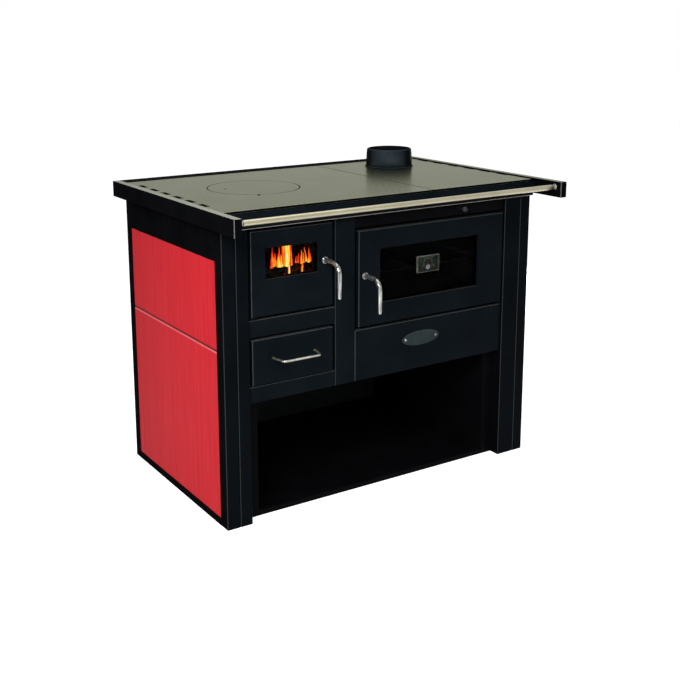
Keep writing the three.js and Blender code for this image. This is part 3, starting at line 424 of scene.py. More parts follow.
def collar_iron():
    """The collar's blacking: brighter at the front left, a painted highlight, with painted shade over the
    rest and at its foot, and a painted highlight on its rim's top.
    """
    material, tree = new_finish("blacked collar iron")
    low, _, centre = extent("flue_collar")
    where = place(tree)
    sand = grain(where, 700, 3, 0.6)
    colour = ramp(grain(where, 22, 4, 0.6), (0.3, (0.022, 0.03, 0.037)), (0.75, (0.034, 0.045, 0.054)))
    towards = {0: place(tree, (0.62, 0.78, 0), centre), 1: (-1, -1, 0)}
    forward = add("VectorMath", towards, operation="DOT_PRODUCT").outputs["Value"]
    # Painted shade over all but the front left of the tube.
    soot_and_shade = spread(forward, 44 * MM, 71 * MM, 0.94, 0)
    # Painted shade at the foot, where the collar meets the hob.
    shaded_foot = spread(parts_of(where)["Z"], low.z + 4 * MM, low.z + 24 * MM, 0.9, 0)
    colour = blend(largest(soot_and_shade, shaded_foot), colour, (0.0035, 0.0045, 0.0055))
    # Faces that look up, on the rim, are painted paler, a painted highlight.
    colour = blend(facing_up(tree, 0.45, 0.95), colour, (0.03, 0.038, 0.04))
    return finished(
        material, base_color=colour, roughness=spread(sand, 0.3, 0.7, 0.26, 0.38),
        specular_ior_level=0.0005, specular_tint=COOL_GLOSS, relief=(sand, 0.1, 0.0001),
    )


def fire_clay():
    """Firebrick: buff clay with grit and pores, patchily sooted black."""
    material, tree = new_finish("sooted firebrick")
    where = place(tree)
    grit = grain(where, 420, 4, 0.7)
    clay = ramp(grit, (0.3, (0.28, 0.19, 0.11)), (0.7, (0.52, 0.4, 0.27)))
    soot_and_shade = spread(grain(where, 16, 5, 0.6), 0.3, 0.62, 0.86, 0.995)
    colour = blend(soot_and_shade, clay, (0.004, 0.004, 0.004))
    return finished(
        material, base_color=colour, roughness=0.93, specular_ior_level=0.15,
        relief=(grit, 0.6, 0.0009),
    )


def window_glass(name, smoky, clear):
    """Coated heat-proof glass with a smoke tint and little glare."""
    material, tree = new_finish(name)
    haze = grain(place(tree), 26, 3, 0.6)
    colour, rough = ramp(haze, (0.3, smoky), (0.7, clear)), spread(haze, 0.3, 0.7, 0.0, 0.02)
    return finished(material, base_color=colour, roughness=rough, transmission_weight=1.0, ior=1.04)


def braided_seal():
    """Dark glass-fibre rope: a round braid in fine crossed strands."""
    material, tree = new_finish("braided door seal")
    places = [place(tree, (lean, 1, 1)) for lean in (1, -1)]
    waves = [{"Vector": where, "Scale": 160, "Distortion": 3} for where in places]
    strands = largest(*(add("TexWave", wave).outputs[1] for wave in waves))
    colour = ramp(strands, (0.2, (0.008, 0.008, 0.009)), (0.8, (0.05, 0.05, 0.052)))
    return finished(
        material, base_color=colour, roughness=0.9, specular_ior_level=0.15, sheen_weight=0.2,
        relief=(strands, 0.8, 0.0008),
    )


def flame_light():
    """Burning gas: red at the rim of each tongue, then orange, yellow and a pale core."""
    material, tree = new_finish("flame")
    heat = add("Attribute", tree=tree, attribute_name="burning").outputs["Fac"]
    flicker = grain(place(tree, (1, 1, 0.16)), 210, 3, 0.6)
    warmed = calculate("ADD", heat, spread(flicker, 0.3, 0.7, -0.24, 0.2))
    colour = ramp(
        warmed,
        (0.0, (0.25, 0.004, 0.0)), (0.2, (0.8, 0.018, 0.006)), (0.42, (0.95, 0.09, 0.008)),
        (0.66, (1.0, 0.36, 0.012)), (0.86, (1.0, 0.72, 0.06)), (1.0, (1.0, 0.9, 0.3)),
    )
    return finished(
        material, base_color=(0, 0, 0, 1), emission_color=colour,
        alpha=spread(warmed, 0.0, 0.16, 0, 1), emission_strength=1.1, specular_ior_level=0.0,
        roughness=1.0,
    )


def charred_wood():
    """A burning log: cracked char with glowing seams."""
    material, tree = new_finish("charred log")
    where = place(tree, (0.4, 1, 1))
    cracks = add("TexVoronoi", {"Vector": where, "Scale": 90}, feature="DISTANCE_TO_EDGE")
    depth = cracks.outputs["Distance"]
    char = ramp(grain(where, 60, 4, 0.6), (0.3, (0.001, 0.001, 0.001)), (0.75, (0.009, 0.007, 0.006)))
    patches = spread(grain(place(tree), 14, 2), 0.5, 0.66, 0, 1)
    glow = times(spread(depth, 0.0, 0.1, 1, 0), patches)
    return finished(
        material, base_color=char,
        emission_color=ramp(glow, (0.1, (0, 0, 0)), (0.9, (1.0, 0.1, 0.01))), emission_strength=0.06,
        roughness=0.95, specular_ior_level=0.05, relief=(depth, 0.7, 0.003),
    )


def dial_print():
    """The thermometer's dark green-grey dial, speckled, with a paler scale ring."""
    material, tree = new_finish("dial face")
    away = length_of(place(tree, (1, 0, 1), extent("thermometer_case")[2]))
    ring = spread(apart(away, DIAL_RING), 1.8 * MM, 2.4 * MM, 0.8, 0)
    field = ramp(grain(place(tree), 300, 3, 0.6), (0.4, (0.014, 0.024, 0.02)), (0.68, (0.11, 0.14, 0.12)))
    colour = blend(ring, field, (0.09, 0.115, 0.1))
    return finished(material, base_color=colour, roughness=0.4, specular_ior_level=0.1)


def framed_case():
    """The thermometer's case: a narrow pale frame round a dark inside."""
    material, tree = new_finish("worn frame enamel")
    low, high, centre = extent("thermometer_case")
    point = parts_of(place(tree, (1, 1, 1), centre))
    past_side = less(calculate("ABSOLUTE", point["X"]), (high.x - low.x) / 2)
    past_top = less(calculate("ABSOLUTE", point["Z"]), (high.z - low.z) / 2)
    edge = largest(past_side, past_top)
    framed = spread(edge, -DIAL_FRAME - 0.2 * MM, -DIAL_FRAME + 0.2 * MM, 0, 1)
    pale = ramp(grain(place(tree), 130, 3, 0.6), (0.35, (0.24, 0.245, 0.2)), (0.65, (0.6, 0.6, 0.48)))
    colour = blend(framed, (0.014, 0.02, 0.017), pale)
    return finished(material, base_color=colour, roughness=0.35, specular_ior_level=0.2)


def floor_finish():
    """White paper: bright where it is lit, and still darker in the stove's own shadow."""
    material, tree = new_finish("studio paper")
    tone = ramp(grain(place(tree), 60, 2), (0.3, (0.8, 0.8, 0.8)), (0.7, (0.82, 0.82, 0.82)))
    return finished(
        material, base_color=tone, emission_strength=times(seen_by_eye(tree), FLOOR_LIFT),
        emission_color=(1, 1, 1, 1), roughness=1.0, specular_ior_level=0.0,
    )


NIGHT, SLATE = (0.0032, 0.0052, 0.0074), (0.0056, 0.0084, 0.0112)
# Darker tones of the same black, for the copies of the paint that carry painted shade.
SHADED_NIGHT, SHADED_SLATE = (0.002, 0.0021, 0.0026), (0.004, 0.0042, 0.005)
# The paler tones painted on the tops of the rails and of the front's ledges, painted reflections of the
# overhead light.
RAIL_TOP_SHEEN = (0.285, 0.298, 0.247)
LEDGE_SHEEN = (0.03, 0.033, 0.033)
FINISHES = {
    "black_paint": paint("satin black paint", NIGHT, SLATE, top_sheen=LEDGE_SHEEN),
    "inner_steel": paint("matt inner steel", (0.003, 0.003, 0.003), (0.008, 0.008, 0.008), 0.6, 0.03),
    "hob_steel": ground_steel(),
    "red_tile": glazed_tile(),
    # The chrome carries dark painted reflections along its rods.
    "chrome": polished("polished steel", (0.36, 0.37, 0.35), (0.58, 0.59, 0.56), 0.14, 0.9),
    "brushed_steel": polished("dull nickel", (0.3, 0.3, 0.29), (0.42, 0.42, 0.4), 0.3),
    "cast_iron": casting("blacked cast iron", (0.004, 0.0055, 0.0075), (0.008, 0.011, 0.014)),
    "firebrick": fire_clay(),
    "ceramic_glass": window_glass("smoked oven glass", (0.42, 0.42, 0.42), (0.5, 0.5, 0.5)),
    "rope_seal": braided_seal(),
    "needle_red": paint("red needle paint", (0.13, 0.01, 0.009), (0.2, 0.014, 0.012), 0.45, 0.4),
}
# Darker copies of the black paint, as painted shade: the rails and side sheets, the recessed sheets under
# the hob and in the store, and the corner posts.
RAIL_PAINT = paint("side rail paint", SHADED_NIGHT, SHADED_SLATE, 0.5, 0.0004, RAIL_TOP_SHEEN)
SIDE_PAINT = paint("side sheet paint", SHADED_NIGHT, SHADED_SLATE, 0.5, 0.0004)
SHADE_PAINT = paint("recessed sheet paint", SHADED_NIGHT, SHADED_SLATE)
POST_PAINT = paint("corner post paint", (0.0018, 0.0029, 0.0041), (0.0032, 0.0048, 0.0064))
REAR_PAINT = paint("rear sheet paint", (0.012, 0.014, 0.016), (0.022, 0.0245, 0.0275), 0.42, 0.1)
MARK_PAINT = paint("pale mark paint", (0.4, 0.4, 0.38), (0.55, 0.55, 0.52), 0.5, 0.3)
FIRE_GLASS = window_glass("fire window glass", (0.9, 0.9, 0.9), (0.95, 0.95, 0.95))
# Paler paints for the folds that face the light: painted highlights on the sheets', posts' and rails'
# edges.
EDGE_PAINT = edge_highlight_paint("painted highlight on folded edges", (0.02, 0.024, 0.025), (0.044, 0.049, 0.05))
POST_EDGE = edge_highlight_paint("painted highlight on the posts' folds", (0.007, 0.009, 0.01), (0.019, 0.022, 0.023))
RAIL_EDGE = edge_highlight_paint("paint on the rails' front corners", (0.07, 0.073, 0.068), (0.15, 0.154, 0.142))
# A pale line painted along the fascia's lower fold.
PALE_FASCIA_EDGE = edge_highlight_paint("pale line at the fascia's lower fold", (0.26, 0.225, 0.19), (0.38, 0.335, 0.29))
BAR_STEEL = drawn_bar()
# The bail's steel: painted reflections along the rod, and painted shade on its underside.
BAIL_STEEL = polished(
    "polished bail steel", (0.46, 0.45, 0.38), (0.66, 0.64, 0.55), 0.16, 0.7, (0.05, 1, 1), True,
)
BRIGHT_SPRING = polished("bright spring case", (0.8, 0.85, 0.85), (0.95, 0.98, 0.98), 0.35)
COLLAR_IRON = collar_iron()
# The knob's iron is painted paler than the other castings, a painted highlight.
KNOB_IRON = casting("paler knob iron", (0.018, 0.02, 0.022), (0.045, 0.048, 0.05))
RACK_WIRE = casting("blackened oven wire", (0.004, 0.004, 0.004), (0.011, 0.011, 0.0105), 0.05)
PLATE_STEEL = casting("dark plate", (0.01, 0.017, 0.017), (0.02, 0.03, 0.031))
FRAME_ENAMEL = framed_case()
DIAL_PRINT = dial_print()
FLAME = flame_light()
CHAR = charred_wood()


# ---- pieces
# The rounding of a sheet's edges, the radius of its folds, and how far it runs under a neighbour.
SHEET_EDGE, FOLD, LAP = 0.35 * MM, 1.8 * MM, 0.9 * MM
# Points nearer to a plane than this lie in it.
NEAR = 0.02 * MM
# How much of a fold's direction has to look a way before it counts as facing that way.
LEAN = 0.1


def as_mesh(bm, name):
    """Turns a finished bmesh into a mesh."""
    mesh = bpy.data.meshes.new(name)
    bm.to_mesh(mesh)
    bm.free()
    return mesh


def finish_piece(name, shape, material, node=None, body=None, slot=None, smooth=True):
    """Adds a shape as a piece on its body, in its finish, in place of the node it stands for.

    A bmesh is welded first and its faces are pointed out. A mesh is taken as it is."""
    if isinstance(shape, bmesh.types.BMesh):
        bmesh.ops.remove_doubles(shape, verts=shape.verts, dist=WELD)
        bmesh.ops.recalc_face_normals(shape, faces=shape.faces)
        shape = as_mesh(shape, name)
    piece = bpy.data.objects.new(name, shape)
    show(piece)
    shape.materials.append(material)
    for polygon in shape.polygons:
        polygon.use_smooth = smooth
    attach(piece, body or nodes[node]["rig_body"])
    if node:
        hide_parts(node)
    return piece


def round_edges(piece, width):
    """Rounds the piece's sharp edges, with its large faces still shaded flat."""
    bevel = piece.modifiers.new("rounded edges", "BEVEL")
    bevel.width = width
    bevel.segments = 2
    bevel.limit_method = "ANGLE"
    bevel.angle_limit = math.radians(35)
    shading = piece.modifiers.new("flat faces", "WEIGHTED_NORMAL")
    shading.weight = 100


def merged_copy(node):
    """A bmesh copy of a solid, with its loose triangles joined up into flat faces."""
    bm = bmesh.new()
    bm.from_mesh(nodes[node].data)
    bmesh.ops.remove_doubles(bm, verts=bm.verts, dist=WELD)
    bmesh.ops.dissolve_limit(bm, angle_limit=math.radians(0.5), verts=bm.verts, edges=bm.edges)
    return bm


# The folds that look left or up, which face the light and take a painted highlight.
def lit_left_and_top(normal):
    return normal.x < -LEAN or normal.z > LEAN


# The folds that look down, such as the fascia's lower fold, which takes a pale painted line.
def folds_below(normal):
    return normal.z < -LEAN


# The rails' front corners that look left and forward, which face the light and take a painted highlight.
def lit_front_corner(normal):
    return normal.x < -LEAN and normal.y < -LEAN and abs(normal.z) < 0.3


def turn_folds(bm, low, high, open_side, grooved, worn):
    """Gives the outer box's edges, and a grooved front's, a sheet fold's radius, and the edge finish on
    the folds its test picks, on most sheets a painted highlight on the folds that face the light.
    """
    axis, limit = {"+Y": (1, high.y), "-Z": (2, low.z)}[open_side]

    def on_box(point):
        return [k for k in range(3) if min(abs(point[k] - low[k]), abs(point[k] - high[k])) < NEAR]

    folds = []
    for edge in bm.edges:
        ends = [vert.co for vert in edge.verts]
        shared = [
            k for k in range(3)
            if all(k in on_box(point) for point in ends) and abs(ends[0][k] - ends[1][k]) < NEAR
        ]
        at_opening = all(abs(point[axis] - limit) < NEAR for point in ends)
        sharp = len(edge.link_faces) == 2 and edge.calc_face_angle() > 1
        in_front = sharp and all(abs(point.y - low.y) < NEAR for point in ends)
        if (len(shared) == 2 or grooved and in_front) and not at_opening:
            folds.append(edge)
    made = bmesh.ops.bevel(
        bm, geom=folds, offset=FOLD, segments=4, profile=0.5, affect="EDGES", material=-1,
        clamp_overlap=True,
    )
    bm.normal_update()
    # The picked folds take the second finish, on most sheets a painted highlight.
    for face in made["faces"]:
        if worn(face.normal):
            face.material_index = 1


def softened(
    node, width, material=None, open_side=None, edge=None, worn=lit_left_and_top,
    flank=None, flank_axis="x",
):
    """A copy of a solid with its edges rounded and, on a folded sheet, its outer folds turned.

    The edge is the finish of the folds that its test picks, on most sheets a painted highlight on the
    folds that face the light, and the flank that of its faces along one axis."""
    bm = merged_copy(node)
    if open_side:
        turn_folds(bm, *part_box(node), open_side, node.startswith("corner_post"), worn)
    mesh = as_mesh(bm, node)
    piece = finish_piece(f"{node}_shape", mesh, material or FINISHES[slot_of[node]], node)
    if open_side:
        mesh.materials.append(edge or EDGE_PAINT)
    if flank:
        mesh.materials.append(flank)
        for polygon in mesh.polygons:
            if abs(getattr(polygon.normal, flank_axis)) > 0.9:
                polygon.material_index = 2
    round_edges(piece, width)
    return piece


def lapped(piece, axis, end, overlap):
    """Runs a sheet's end a hair under its neighbour, so that no light shows between them."""
    for vert in piece.data.vertices:
        if abs(vert.co[axis] - end) < NEAR:
            vert.co[axis] += overlap


def turned(profile, axis="Z", centre=(0, 0, 0), steps=64):
    """A bmesh turned from (radius, height) points about an axis through a centre."""
    bm = bmesh.new()
    ring = [bm.verts.new((radius, 0, height)) for radius, height in profile]
    edges = [bm.edges.new(pair) for pair in zip(ring, ring[1:])]
    bmesh.ops.spin(
        bm, geom=ring + edges, cent=(0, 0, 0), axis=(0, 0, 1), angle=TURN, steps=steps, use_merge=True,
    )
    swing = {"X": Matrix.Rotation(math.pi / 2, 4, "Y"), "Y": Matrix.Rotation(-math.pi / 2, 4, "X")}
    bmesh.ops.transform(bm, matrix=Matrix.Translation(centre) @ swing.get(axis, Matrix()), verts=bm.verts)
    return bm


def arc(centre, radius, start, end, steps):
    """Points of a profile's round corner; the angles are in degrees from outwards."""
    turns = [math.radians(start + (end - start) * i / steps) for i in range(steps + 1)]
    return [(centre[0] + radius * math.cos(t), centre[1] + radius * math.sin(t)) for t in turns]


def round_route(points, bend, steps=8):
    """Straight runs between corner points, with each inner corner turned to an even bend."""
    route = [Vector(points[0])]
    for before, corner, after in zip(points, points[1:], points[2:]):
        corner = Vector(corner)
        start = corner + (Vector(before) - corner).normalized() * bend
        end = corner + (Vector(after) - corner).normalized() * bend
        for i in range(steps + 1):
            t = i / steps
            route.append(start * (1 - t) ** 2 + corner * 2 * t * (1 - t) + end * t * t)
    route.append(Vector(points[-1]))
    return route


def fill_out(route, spacing):
    """The same route with a point at least every so often."""
    dense = [route[0]]
    for start, end in zip(route, route[1:]):
        count = max(1, math.ceil((end - start).length / spacing))
        dense += [start.lerp(end, i / count) for i in range(1, count + 1)]
    return dense


def swept(route, radius_at, sides=24):
    """A bmesh rod along a route; radius_at gives its radius for a share of its length."""
    lengths = [0.0]
    for start, end in zip(route, route[1:]):
        lengths.append(lengths[-1] + (end - start).length)
    bm = bmesh.new()
    ring = bmesh.ops.create_circle(bm, cap_ends=True, segments=sides, radius=1)["verts"]
    edges = list({edge for vert in ring for edge in vert.link_edges})
    at, facing, size = Vector(), Vector((0, 0, 1)), 1.0
    for i, (point, length) in enumerate(zip(route, lengths)):
        if i:
            made = bmesh.ops.extrude_edge_only(bm, edges=edges)["geom"]
            ring = [g for g in made if isinstance(g, bmesh.types.BMVert)]
            edges = [g for g in made if isinstance(g, bmesh.types.BMEdge)]
        ahead = (route[min(i + 1, len(route) - 1)] - route[max(i - 1, 0)]).normalized()
        radius = radius_at(length / lengths[-1])
        turn = facing.rotation_difference(ahead).to_matrix().to_4x4() @ Matrix.Scale(radius / size, 4)
        moved = Matrix.Translation(point) @ turn @ Matrix.Translation(-at)
        bmesh.ops.transform(bm, matrix=moved, verts=ring)
        at, facing, size = point, ahead, radius
    bmesh.ops.contextual_create(bm, geom=edges)
    return bm


def joined(parts):
    """One bmesh from several, each a closed shell of its own."""
    whole = bmesh.new()
    for part in parts:
        mesh = as_mesh(part, "part")
        whole.from_mesh(mesh)
        bpy.data.meshes.remove(mesh)
    return whole


def slab(low, high, rounding=0.0, segments=3):
    """A bmesh block between two corners, with its edges rounded where a width is given."""
    low, high = Vector(low), Vector(high)
    bm = bmesh.new()
    bmesh.ops.create_cube(bm, size=1)
    size = Matrix.Diagonal((*(high - low), 1))
    bmesh.ops.transform(bm, matrix=Matrix.Translation((low + high) / 2) @ size, verts=bm.verts)
    if rounding:
        bmesh.ops.bevel(
            bm, geom=bm.edges[:], offset=rounding, segments=segments, profile=0.5, affect="EDGES",
            material=-1,
        )
    return bm


# ---- sheets, plates, bricks
for sheet_node in (
    "drawer_sill", "cross_strip", "lower_panel", "fire_door_shell", "oven_door_shell", "ash_drawer_front",
):
    softened(sheet_node, SHEET_EDGE, None, "+Y")
for post_node in ("corner_post_left", "corner_post_right"):
    # The posts take the darker post paint and, on their sides, the side paint, both painted shade.
    softened(post_node, SHEET_EDGE, POST_PAINT, "+Y", POST_EDGE, flank=SIDE_PAINT)
softened("mullion", SHEET_EDGE, None, "+Y", POST_EDGE)
# The header under the hob's overhang takes the darker recessed paint, painted shade.
softened("oven_header", SHEET_EDGE, SHADE_PAINT, "+Y", SHADE_PAINT)
softened("front_fascia", SHEET_EDGE, None, "+Y", PALE_FASCIA_EDGE, folds_below)
for rail_node in ("side_rail_left", "side_rail_right"):
    softened(rail_node, SHEET_EDGE, RAIL_PAINT, "-Z", RAIL_EDGE, lit_front_corner)
softened("rear_rail", SHEET_EDGE, SIDE_PAINT, "-Z", None, lit_front_corner, REAR_PAINT, "y")
for sheet_node in ("side_panel_left", "side_panel_right"):
    lapped(softened(sheet_node, SHEET_EDGE, SIDE_PAINT), 1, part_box(sheet_node)[0].y, -LAP)
softened("rear_panel", SHEET_EDGE, REAR_PAINT)
# The store box takes the darker recessed paint, painted shade.
store = softened("store_box", SHEET_EDGE, SHADE_PAINT)
for end_x, overlap in zip((box_end.x for box_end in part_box("store_box")), (-LAP, LAP)):
    lapped(store, 0, end_x, overlap)
softened("fire_door_glass", 0.6 * MM, FIRE_GLASS)
softened("thermometer_case", 0.7 * MM, FRAME_ENAMEL)
# The edge rounding of the other solids, in millimetres.
ROUNDING = {
    "hob_plate_left": 0.5, "hob_plate_right": 0.5, "ring_lid": 0.4,
    "tile_left_lower": 1.7, "tile_left_upper": 1.7, "tile_right_lower": 1.7, "tile_right_upper": 1.7,
    "firebrick_left": 2.5, "firebrick_right": 2.5, "firebrick_rear": 2.5,
    "partition_plate": 0.4, "inner_front": 0.5, "firebox_floor": 0.7, "grate": 1.6,
    "oven_box": 0.4, "smoke_box_wall": 0.5, "damper_slide": 0.6,
    "fire_door_liner": 0.4, "oven_door_liner": 0.4, "ash_box": 0.4,
    "oven_door_glass": 0.6, "thermometer_needle": 0.15,
}
for rounded_node, rounding in ROUNDING.items():
    softened(rounded_node, rounding * MM)


# ---- rear screws
def make_rear_screws():
    """Round-headed sheet screws with small sockets, along the rear panel's edges."""
    low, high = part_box("rear_panel")
    head, rise, shoulder, inset, top_inset = 5 * MM, 2.6 * MM, 1.8 * MM, 14 * MM, 60 * MM
    socket, socket_depth, socket_slope = 1.2 * MM, 1.4 * MM, 0.3 * MM
    left, right, bottom, top = low.x + inset, high.x - inset, low.z + inset, high.z - top_inset
    across, upwards = 5, 4
    places = [(left + (right - left) * i / across, z) for i in range(across + 1) for z in (bottom, top)]
    heights = [bottom + (top - bottom) * i / upwards for i in range(1, upwards)]
    places += [(x, z) for z in heights for x in (left, right)]
    profile = [(0, 0), (head, 0)] + arc((head - shoulder, rise - shoulder), shoulder, 0, 90, 6)
    bottom_of_socket = rise - socket_depth
    profile += [(socket, rise), (socket - socket_slope, bottom_of_socket), (0, bottom_of_socket)]
    heads = [turned(profile, "Y", (x, high.y, z), 24) for x, z in places]
    finish_piece("rear_screws", joined(heads), FINISHES["brushed_steel"], None, "stove", "brushed_steel")


make_rear_screws()


# ---- flue collar
def make_collar():
    """A turned spigot: a flange, a small swept foot, a tube and a rolled rim."""
    low, high, centre = extent("flue_collar")
    flange = (high.x - low.x) / 2
    tube = flange - 6 * MM
    bore = tube - 4 * MM
    top = high.z - low.z
    lip = 1.2 * MM
    foot = 2 * MM
    rim = 5 * MM
    waist = tube + 2.4 * MM
    profile = [(bore, 0), (flange - lip, 0)]
    profile += arc((flange - lip, lip), lip, -90, 80, 6)
    profile += arc((waist + foot, 2 * lip + foot), foot, 270, 180, 8)
    profile += [(waist - 0.4 * MM, top * 0.4), (tube + 1 * MM, top - 3 * rim)]
    profile += arc((tube - rim, top - rim), rim, 0, 90, 12)
    profile += [(bore + 0.2 * MM, top - 1.6 * MM), (bore, top - 4 * MM)]
    profile.append((bore, 0))
    bm = turned(profile, "Z", (centre.x, centre.y, low.z), 128)
    finish_piece("flue_collar_casting", bm, COLLAR_IRON, "flue_collar")


make_collar()


# ---- towel bar and its holders
def make_towel_bar():
    """The open tube, and a turned holder at each end that reaches to its rail."""
    low, high, middle = extent("towel_bar")
    outer = (high.z - low.z) / 2
    inner, lip = outer - 1.2 * MM, 0.5 * MM
    half = high.x - middle.x
    profile = [(inner, -half)] + arc((outer - lip, -half + lip), lip, -90, 0, 3)
    profile += arc((outer - lip, half - lip), lip, 0, 90, 3) + [(inner, half), (inner, -half)]
    finish_piece("towel_bar_tube", turned(profile, "X", middle, 48), BAR_STEEL, "towel_bar")
    neck, waist, tip_round = 6 * MM, 5 * MM, 0.5 * MM
    for side, sign in (("left", -1), ("right", 1)):
        node = f"bar_holder_{side}"
        low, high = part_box(node)
        rail_face = high.x if sign > 0 else low.x
        reach, disc = high.x - low.x, (high.z - low.z) / 2
        profile = [(0, 0), (disc - MM, 0)] + arc((disc - MM, 2 * MM), MM, 0, 90, 4)
        profile += arc((neck, 4 * MM), MM, 270, 180, 4) + [(waist, 13 * MM), (neck, 13.2 * MM)]
        profile += [(neck, reach - tip_round), (neck - tip_round, reach), (0, reach)]
        facing = [(radius, height * -sign) for radius, height in profile]
        bm = turned(facing, "X", (rail_face, middle.y, middle.z), 40)
        finish_piece(f"{node}_turning", bm, FINISHES["brushed_steel"], node)


make_towel_bar()


# ---- levers, rosettes, hinge rods
LEVER_RADIUS = 6.5 * MM


def make_lever(prefix):
    """A bent, slightly tapered grip with a rounded end, on its spindle and latch tongue."""
    node = f"{prefix}_lever"
    low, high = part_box(node)
    rosette_low, _, middle = extent(f"{prefix}_rosette")
    root = rosette_low.y - 0.3 * MM
    grip = low.y + LEVER_RADIUS
    corner = (middle.x, grip, middle.z)
    tip = (middle.x, grip, low.z + 0.2 * MM)
    route = fill_out(round_route([(middle.x, root, middle.z), corner, tip], 34 * MM, 14), 6 * MM)
    total = sum((b - a).length for a, b in zip(route, route[1:]))
    ball, taper_from, taper, flare, flare_length = 5.2 * MM, 0.45, 1.5 * MM, 0.8 * MM, 8 * MM

    def radius(share):
        from_end = (1 - share) * total
        if from_end < ball:
            return max(0.4 * MM, math.sqrt(max(0.0, ball ** 2 - (ball - from_end) ** 2)))
        body = LEVER_RADIUS - taper * max(0.0, (share - taper_from) / (1 - taper_from))
        return body + flare * max(0.0, 1 - share * total / flare_length)

    start, end = route[-2:]
    rounded = route[:-1] + [start.lerp(end, share) for share in (0.3, 0.55, 0.75, 0.88, 0.96, 1.0)]
    spindle, spindle_end = 4 * MM, high.y - root - 2 * MM
    profile = [(0, 0), (spindle, 0), (spindle, spindle_end), (0, spindle_end)]
    tongue_low = (middle.x - 4 * MM, high.y - 3 * MM, middle.z - 15 * MM)
    tongue_high = (middle.x + 4 * MM, high.y, middle.z + 4 * MM)
    parts = [
        swept(rounded, radius, 28),
        turned(profile, "Y", (middle.x, root - 1 * MM, middle.z), 24),
        slab(tongue_low, tongue_high, 0.6 * MM),
    ]
    finish_piece(f"{prefix}_lever_rod", joined(parts), FINISHES["chrome"], node)


def make_rosette(prefix):
    """A domed ring on the door's face, round the lever's root."""
    node = f"{prefix}_rosette"
    low, high, centre = extent(node)
    outer, bore, dome = (high.x - low.x) / 2, 4.5 * MM, 3 * MM
    depth = high.y - low.y
    profile = [(bore, 0), (outer, 0), (outer, depth * 0.35)]
    profile += arc((outer - dome, depth - dome), dome, 10, 90, 8) + [(bore, depth), (bore, 0)]
    facing = [(radius, -height) for radius, height in profile]
    bm = turned(facing, "Y", (centre.x, high.y, centre.z), 48)
    finish_piece(f"{prefix}_rosette_turning", bm, FINISHES["chrome"], node)


def make_hinge_rod(prefix):
    """The round rod in a door's hinge edge, chamfered at both ends."""
    node = f"{prefix}_hinge_rod"
    low, high, centre = extent(node)
    radius, chamfer, tall = (high.x - low.x) / 2, 0.8 * MM, high.z - low.z
    profile = [(0, 0), (radius - chamfer, 0), (radius, chamfer), (radius, tall - chamfer)]
    profile += [(radius - chamfer, tall), (0, tall)]
    bm = turned(profile, "Z", (centre.x, centre.y, low.z), 32)
    finish_piece(f"{node}_turning", bm, FINISHES["cast_iron"], node)


for door_prefix in ("fire", "oven"):
    make_lever(door_prefix)
    make_rosette(door_prefix)
    make_hinge_rod(door_prefix)


# ---- drawer bail
def make_bail():
    """One bent rod: two short feet into the drawer's front, and the grip between them."""
    low, high, centre = extent("drawer_bail")
    radius = (high.z - low.z) / 2
    left, right = low.x + radius, high.x - radius
    lean, foot, reach = 8.5 * MM, high.y, low.y + radius
    knee = foot - 12 * MM
    plan = (
        (left, foot), (left, knee), (left + lean, reach),
        (right - lean, reach), (right, knee), (right, foot),
    )
    route = fill_out(round_route([(x, y, centre.z) for x, y in plan], 9 * MM, 8), 8 * MM)
    finish_piece("drawer_bail_rod", swept(route, lambda share: radius, 24), BAIL_STEEL, "drawer_bail")


make_bail()


# ---- damper knob
def make_knob():
    """A ball with a short neck where its rod goes in."""
    low, high, centre = extent("damper_knob")
    radius, rod = (high.z - low.z) / 2, 3.8 * MM
    profile = arc((0, 0), radius, -90, 62, 14) + [(rod, radius - 0.4 * MM), (rod, 0), (0, 0)]
    finish_piece("damper_knob_turning", turned(profile, "Y", centre, 40), KNOB_IRON, "damper_knob")


make_knob()


# ---- oval plate
def make_oval_plate():
    """A bare oval plate with a raised rim and two bright rivets."""
    low, high, centre = extent("oval_plate")
    back, thick, rim, step, step_depth = high.y, 2 * MM, 2.2 * MM, 0.6 * MM, 0.5 * MM
    bm = bmesh.new()
    made = bmesh.ops.create_circle(bm, cap_ends=True, segments=96, radius=1)
    oval = Matrix.Diagonal(((high.x - low.x) / 2, (high.z - low.z) / 2, 1, 1))
    stand = Matrix.Translation((centre.x, back, centre.z)) @ Matrix.Rotation(math.pi / 2, 4, "X")
    bmesh.ops.transform(bm, matrix=stand @ oval, verts=made["verts"])
    raised = bmesh.ops.extrude_face_region(bm, geom=bm.faces[:])["geom"]
    front = [g for g in raised if isinstance(g, bmesh.types.BMVert)]
    bmesh.ops.translate(bm, vec=(0, -thick, 0), verts=front)
    cap = [g for g in raised if isinstance(g, bmesh.types.BMFace)]
    bmesh.ops.inset_region(bm, faces=cap, thickness=rim, depth=0)
    bmesh.ops.inset_region(bm, faces=cap, thickness=step, depth=-step_depth)
    plate = finish_piece("oval_plate_sheet", bm, PLATE_STEEL, "oval_plate")
    round_edges(plate, 0.25 * MM)
    dome, dome_height, off_centre = 4 * MM, 2 * MM, 53 * MM
    profile = [(0, 0), (dome, 0), (dome, 0.8 * MM)] + arc((0, 0.3 * MM), dome, 20, 90, 8)
    facing = [(r, -h * dome_height / dome) for r, h in profile]
    for side, sign in (("left", -1), ("right", 1)):
        rivet = turned(facing, "Y", (centre.x + sign * off_centre, back - thick + 0.5 * MM, centre.z), 32)
        finish_piece(f"plate_rivet_{side}", rivet, FINISHES["chrome"], None, "stove", "brushed_steel")


make_oval_plate()


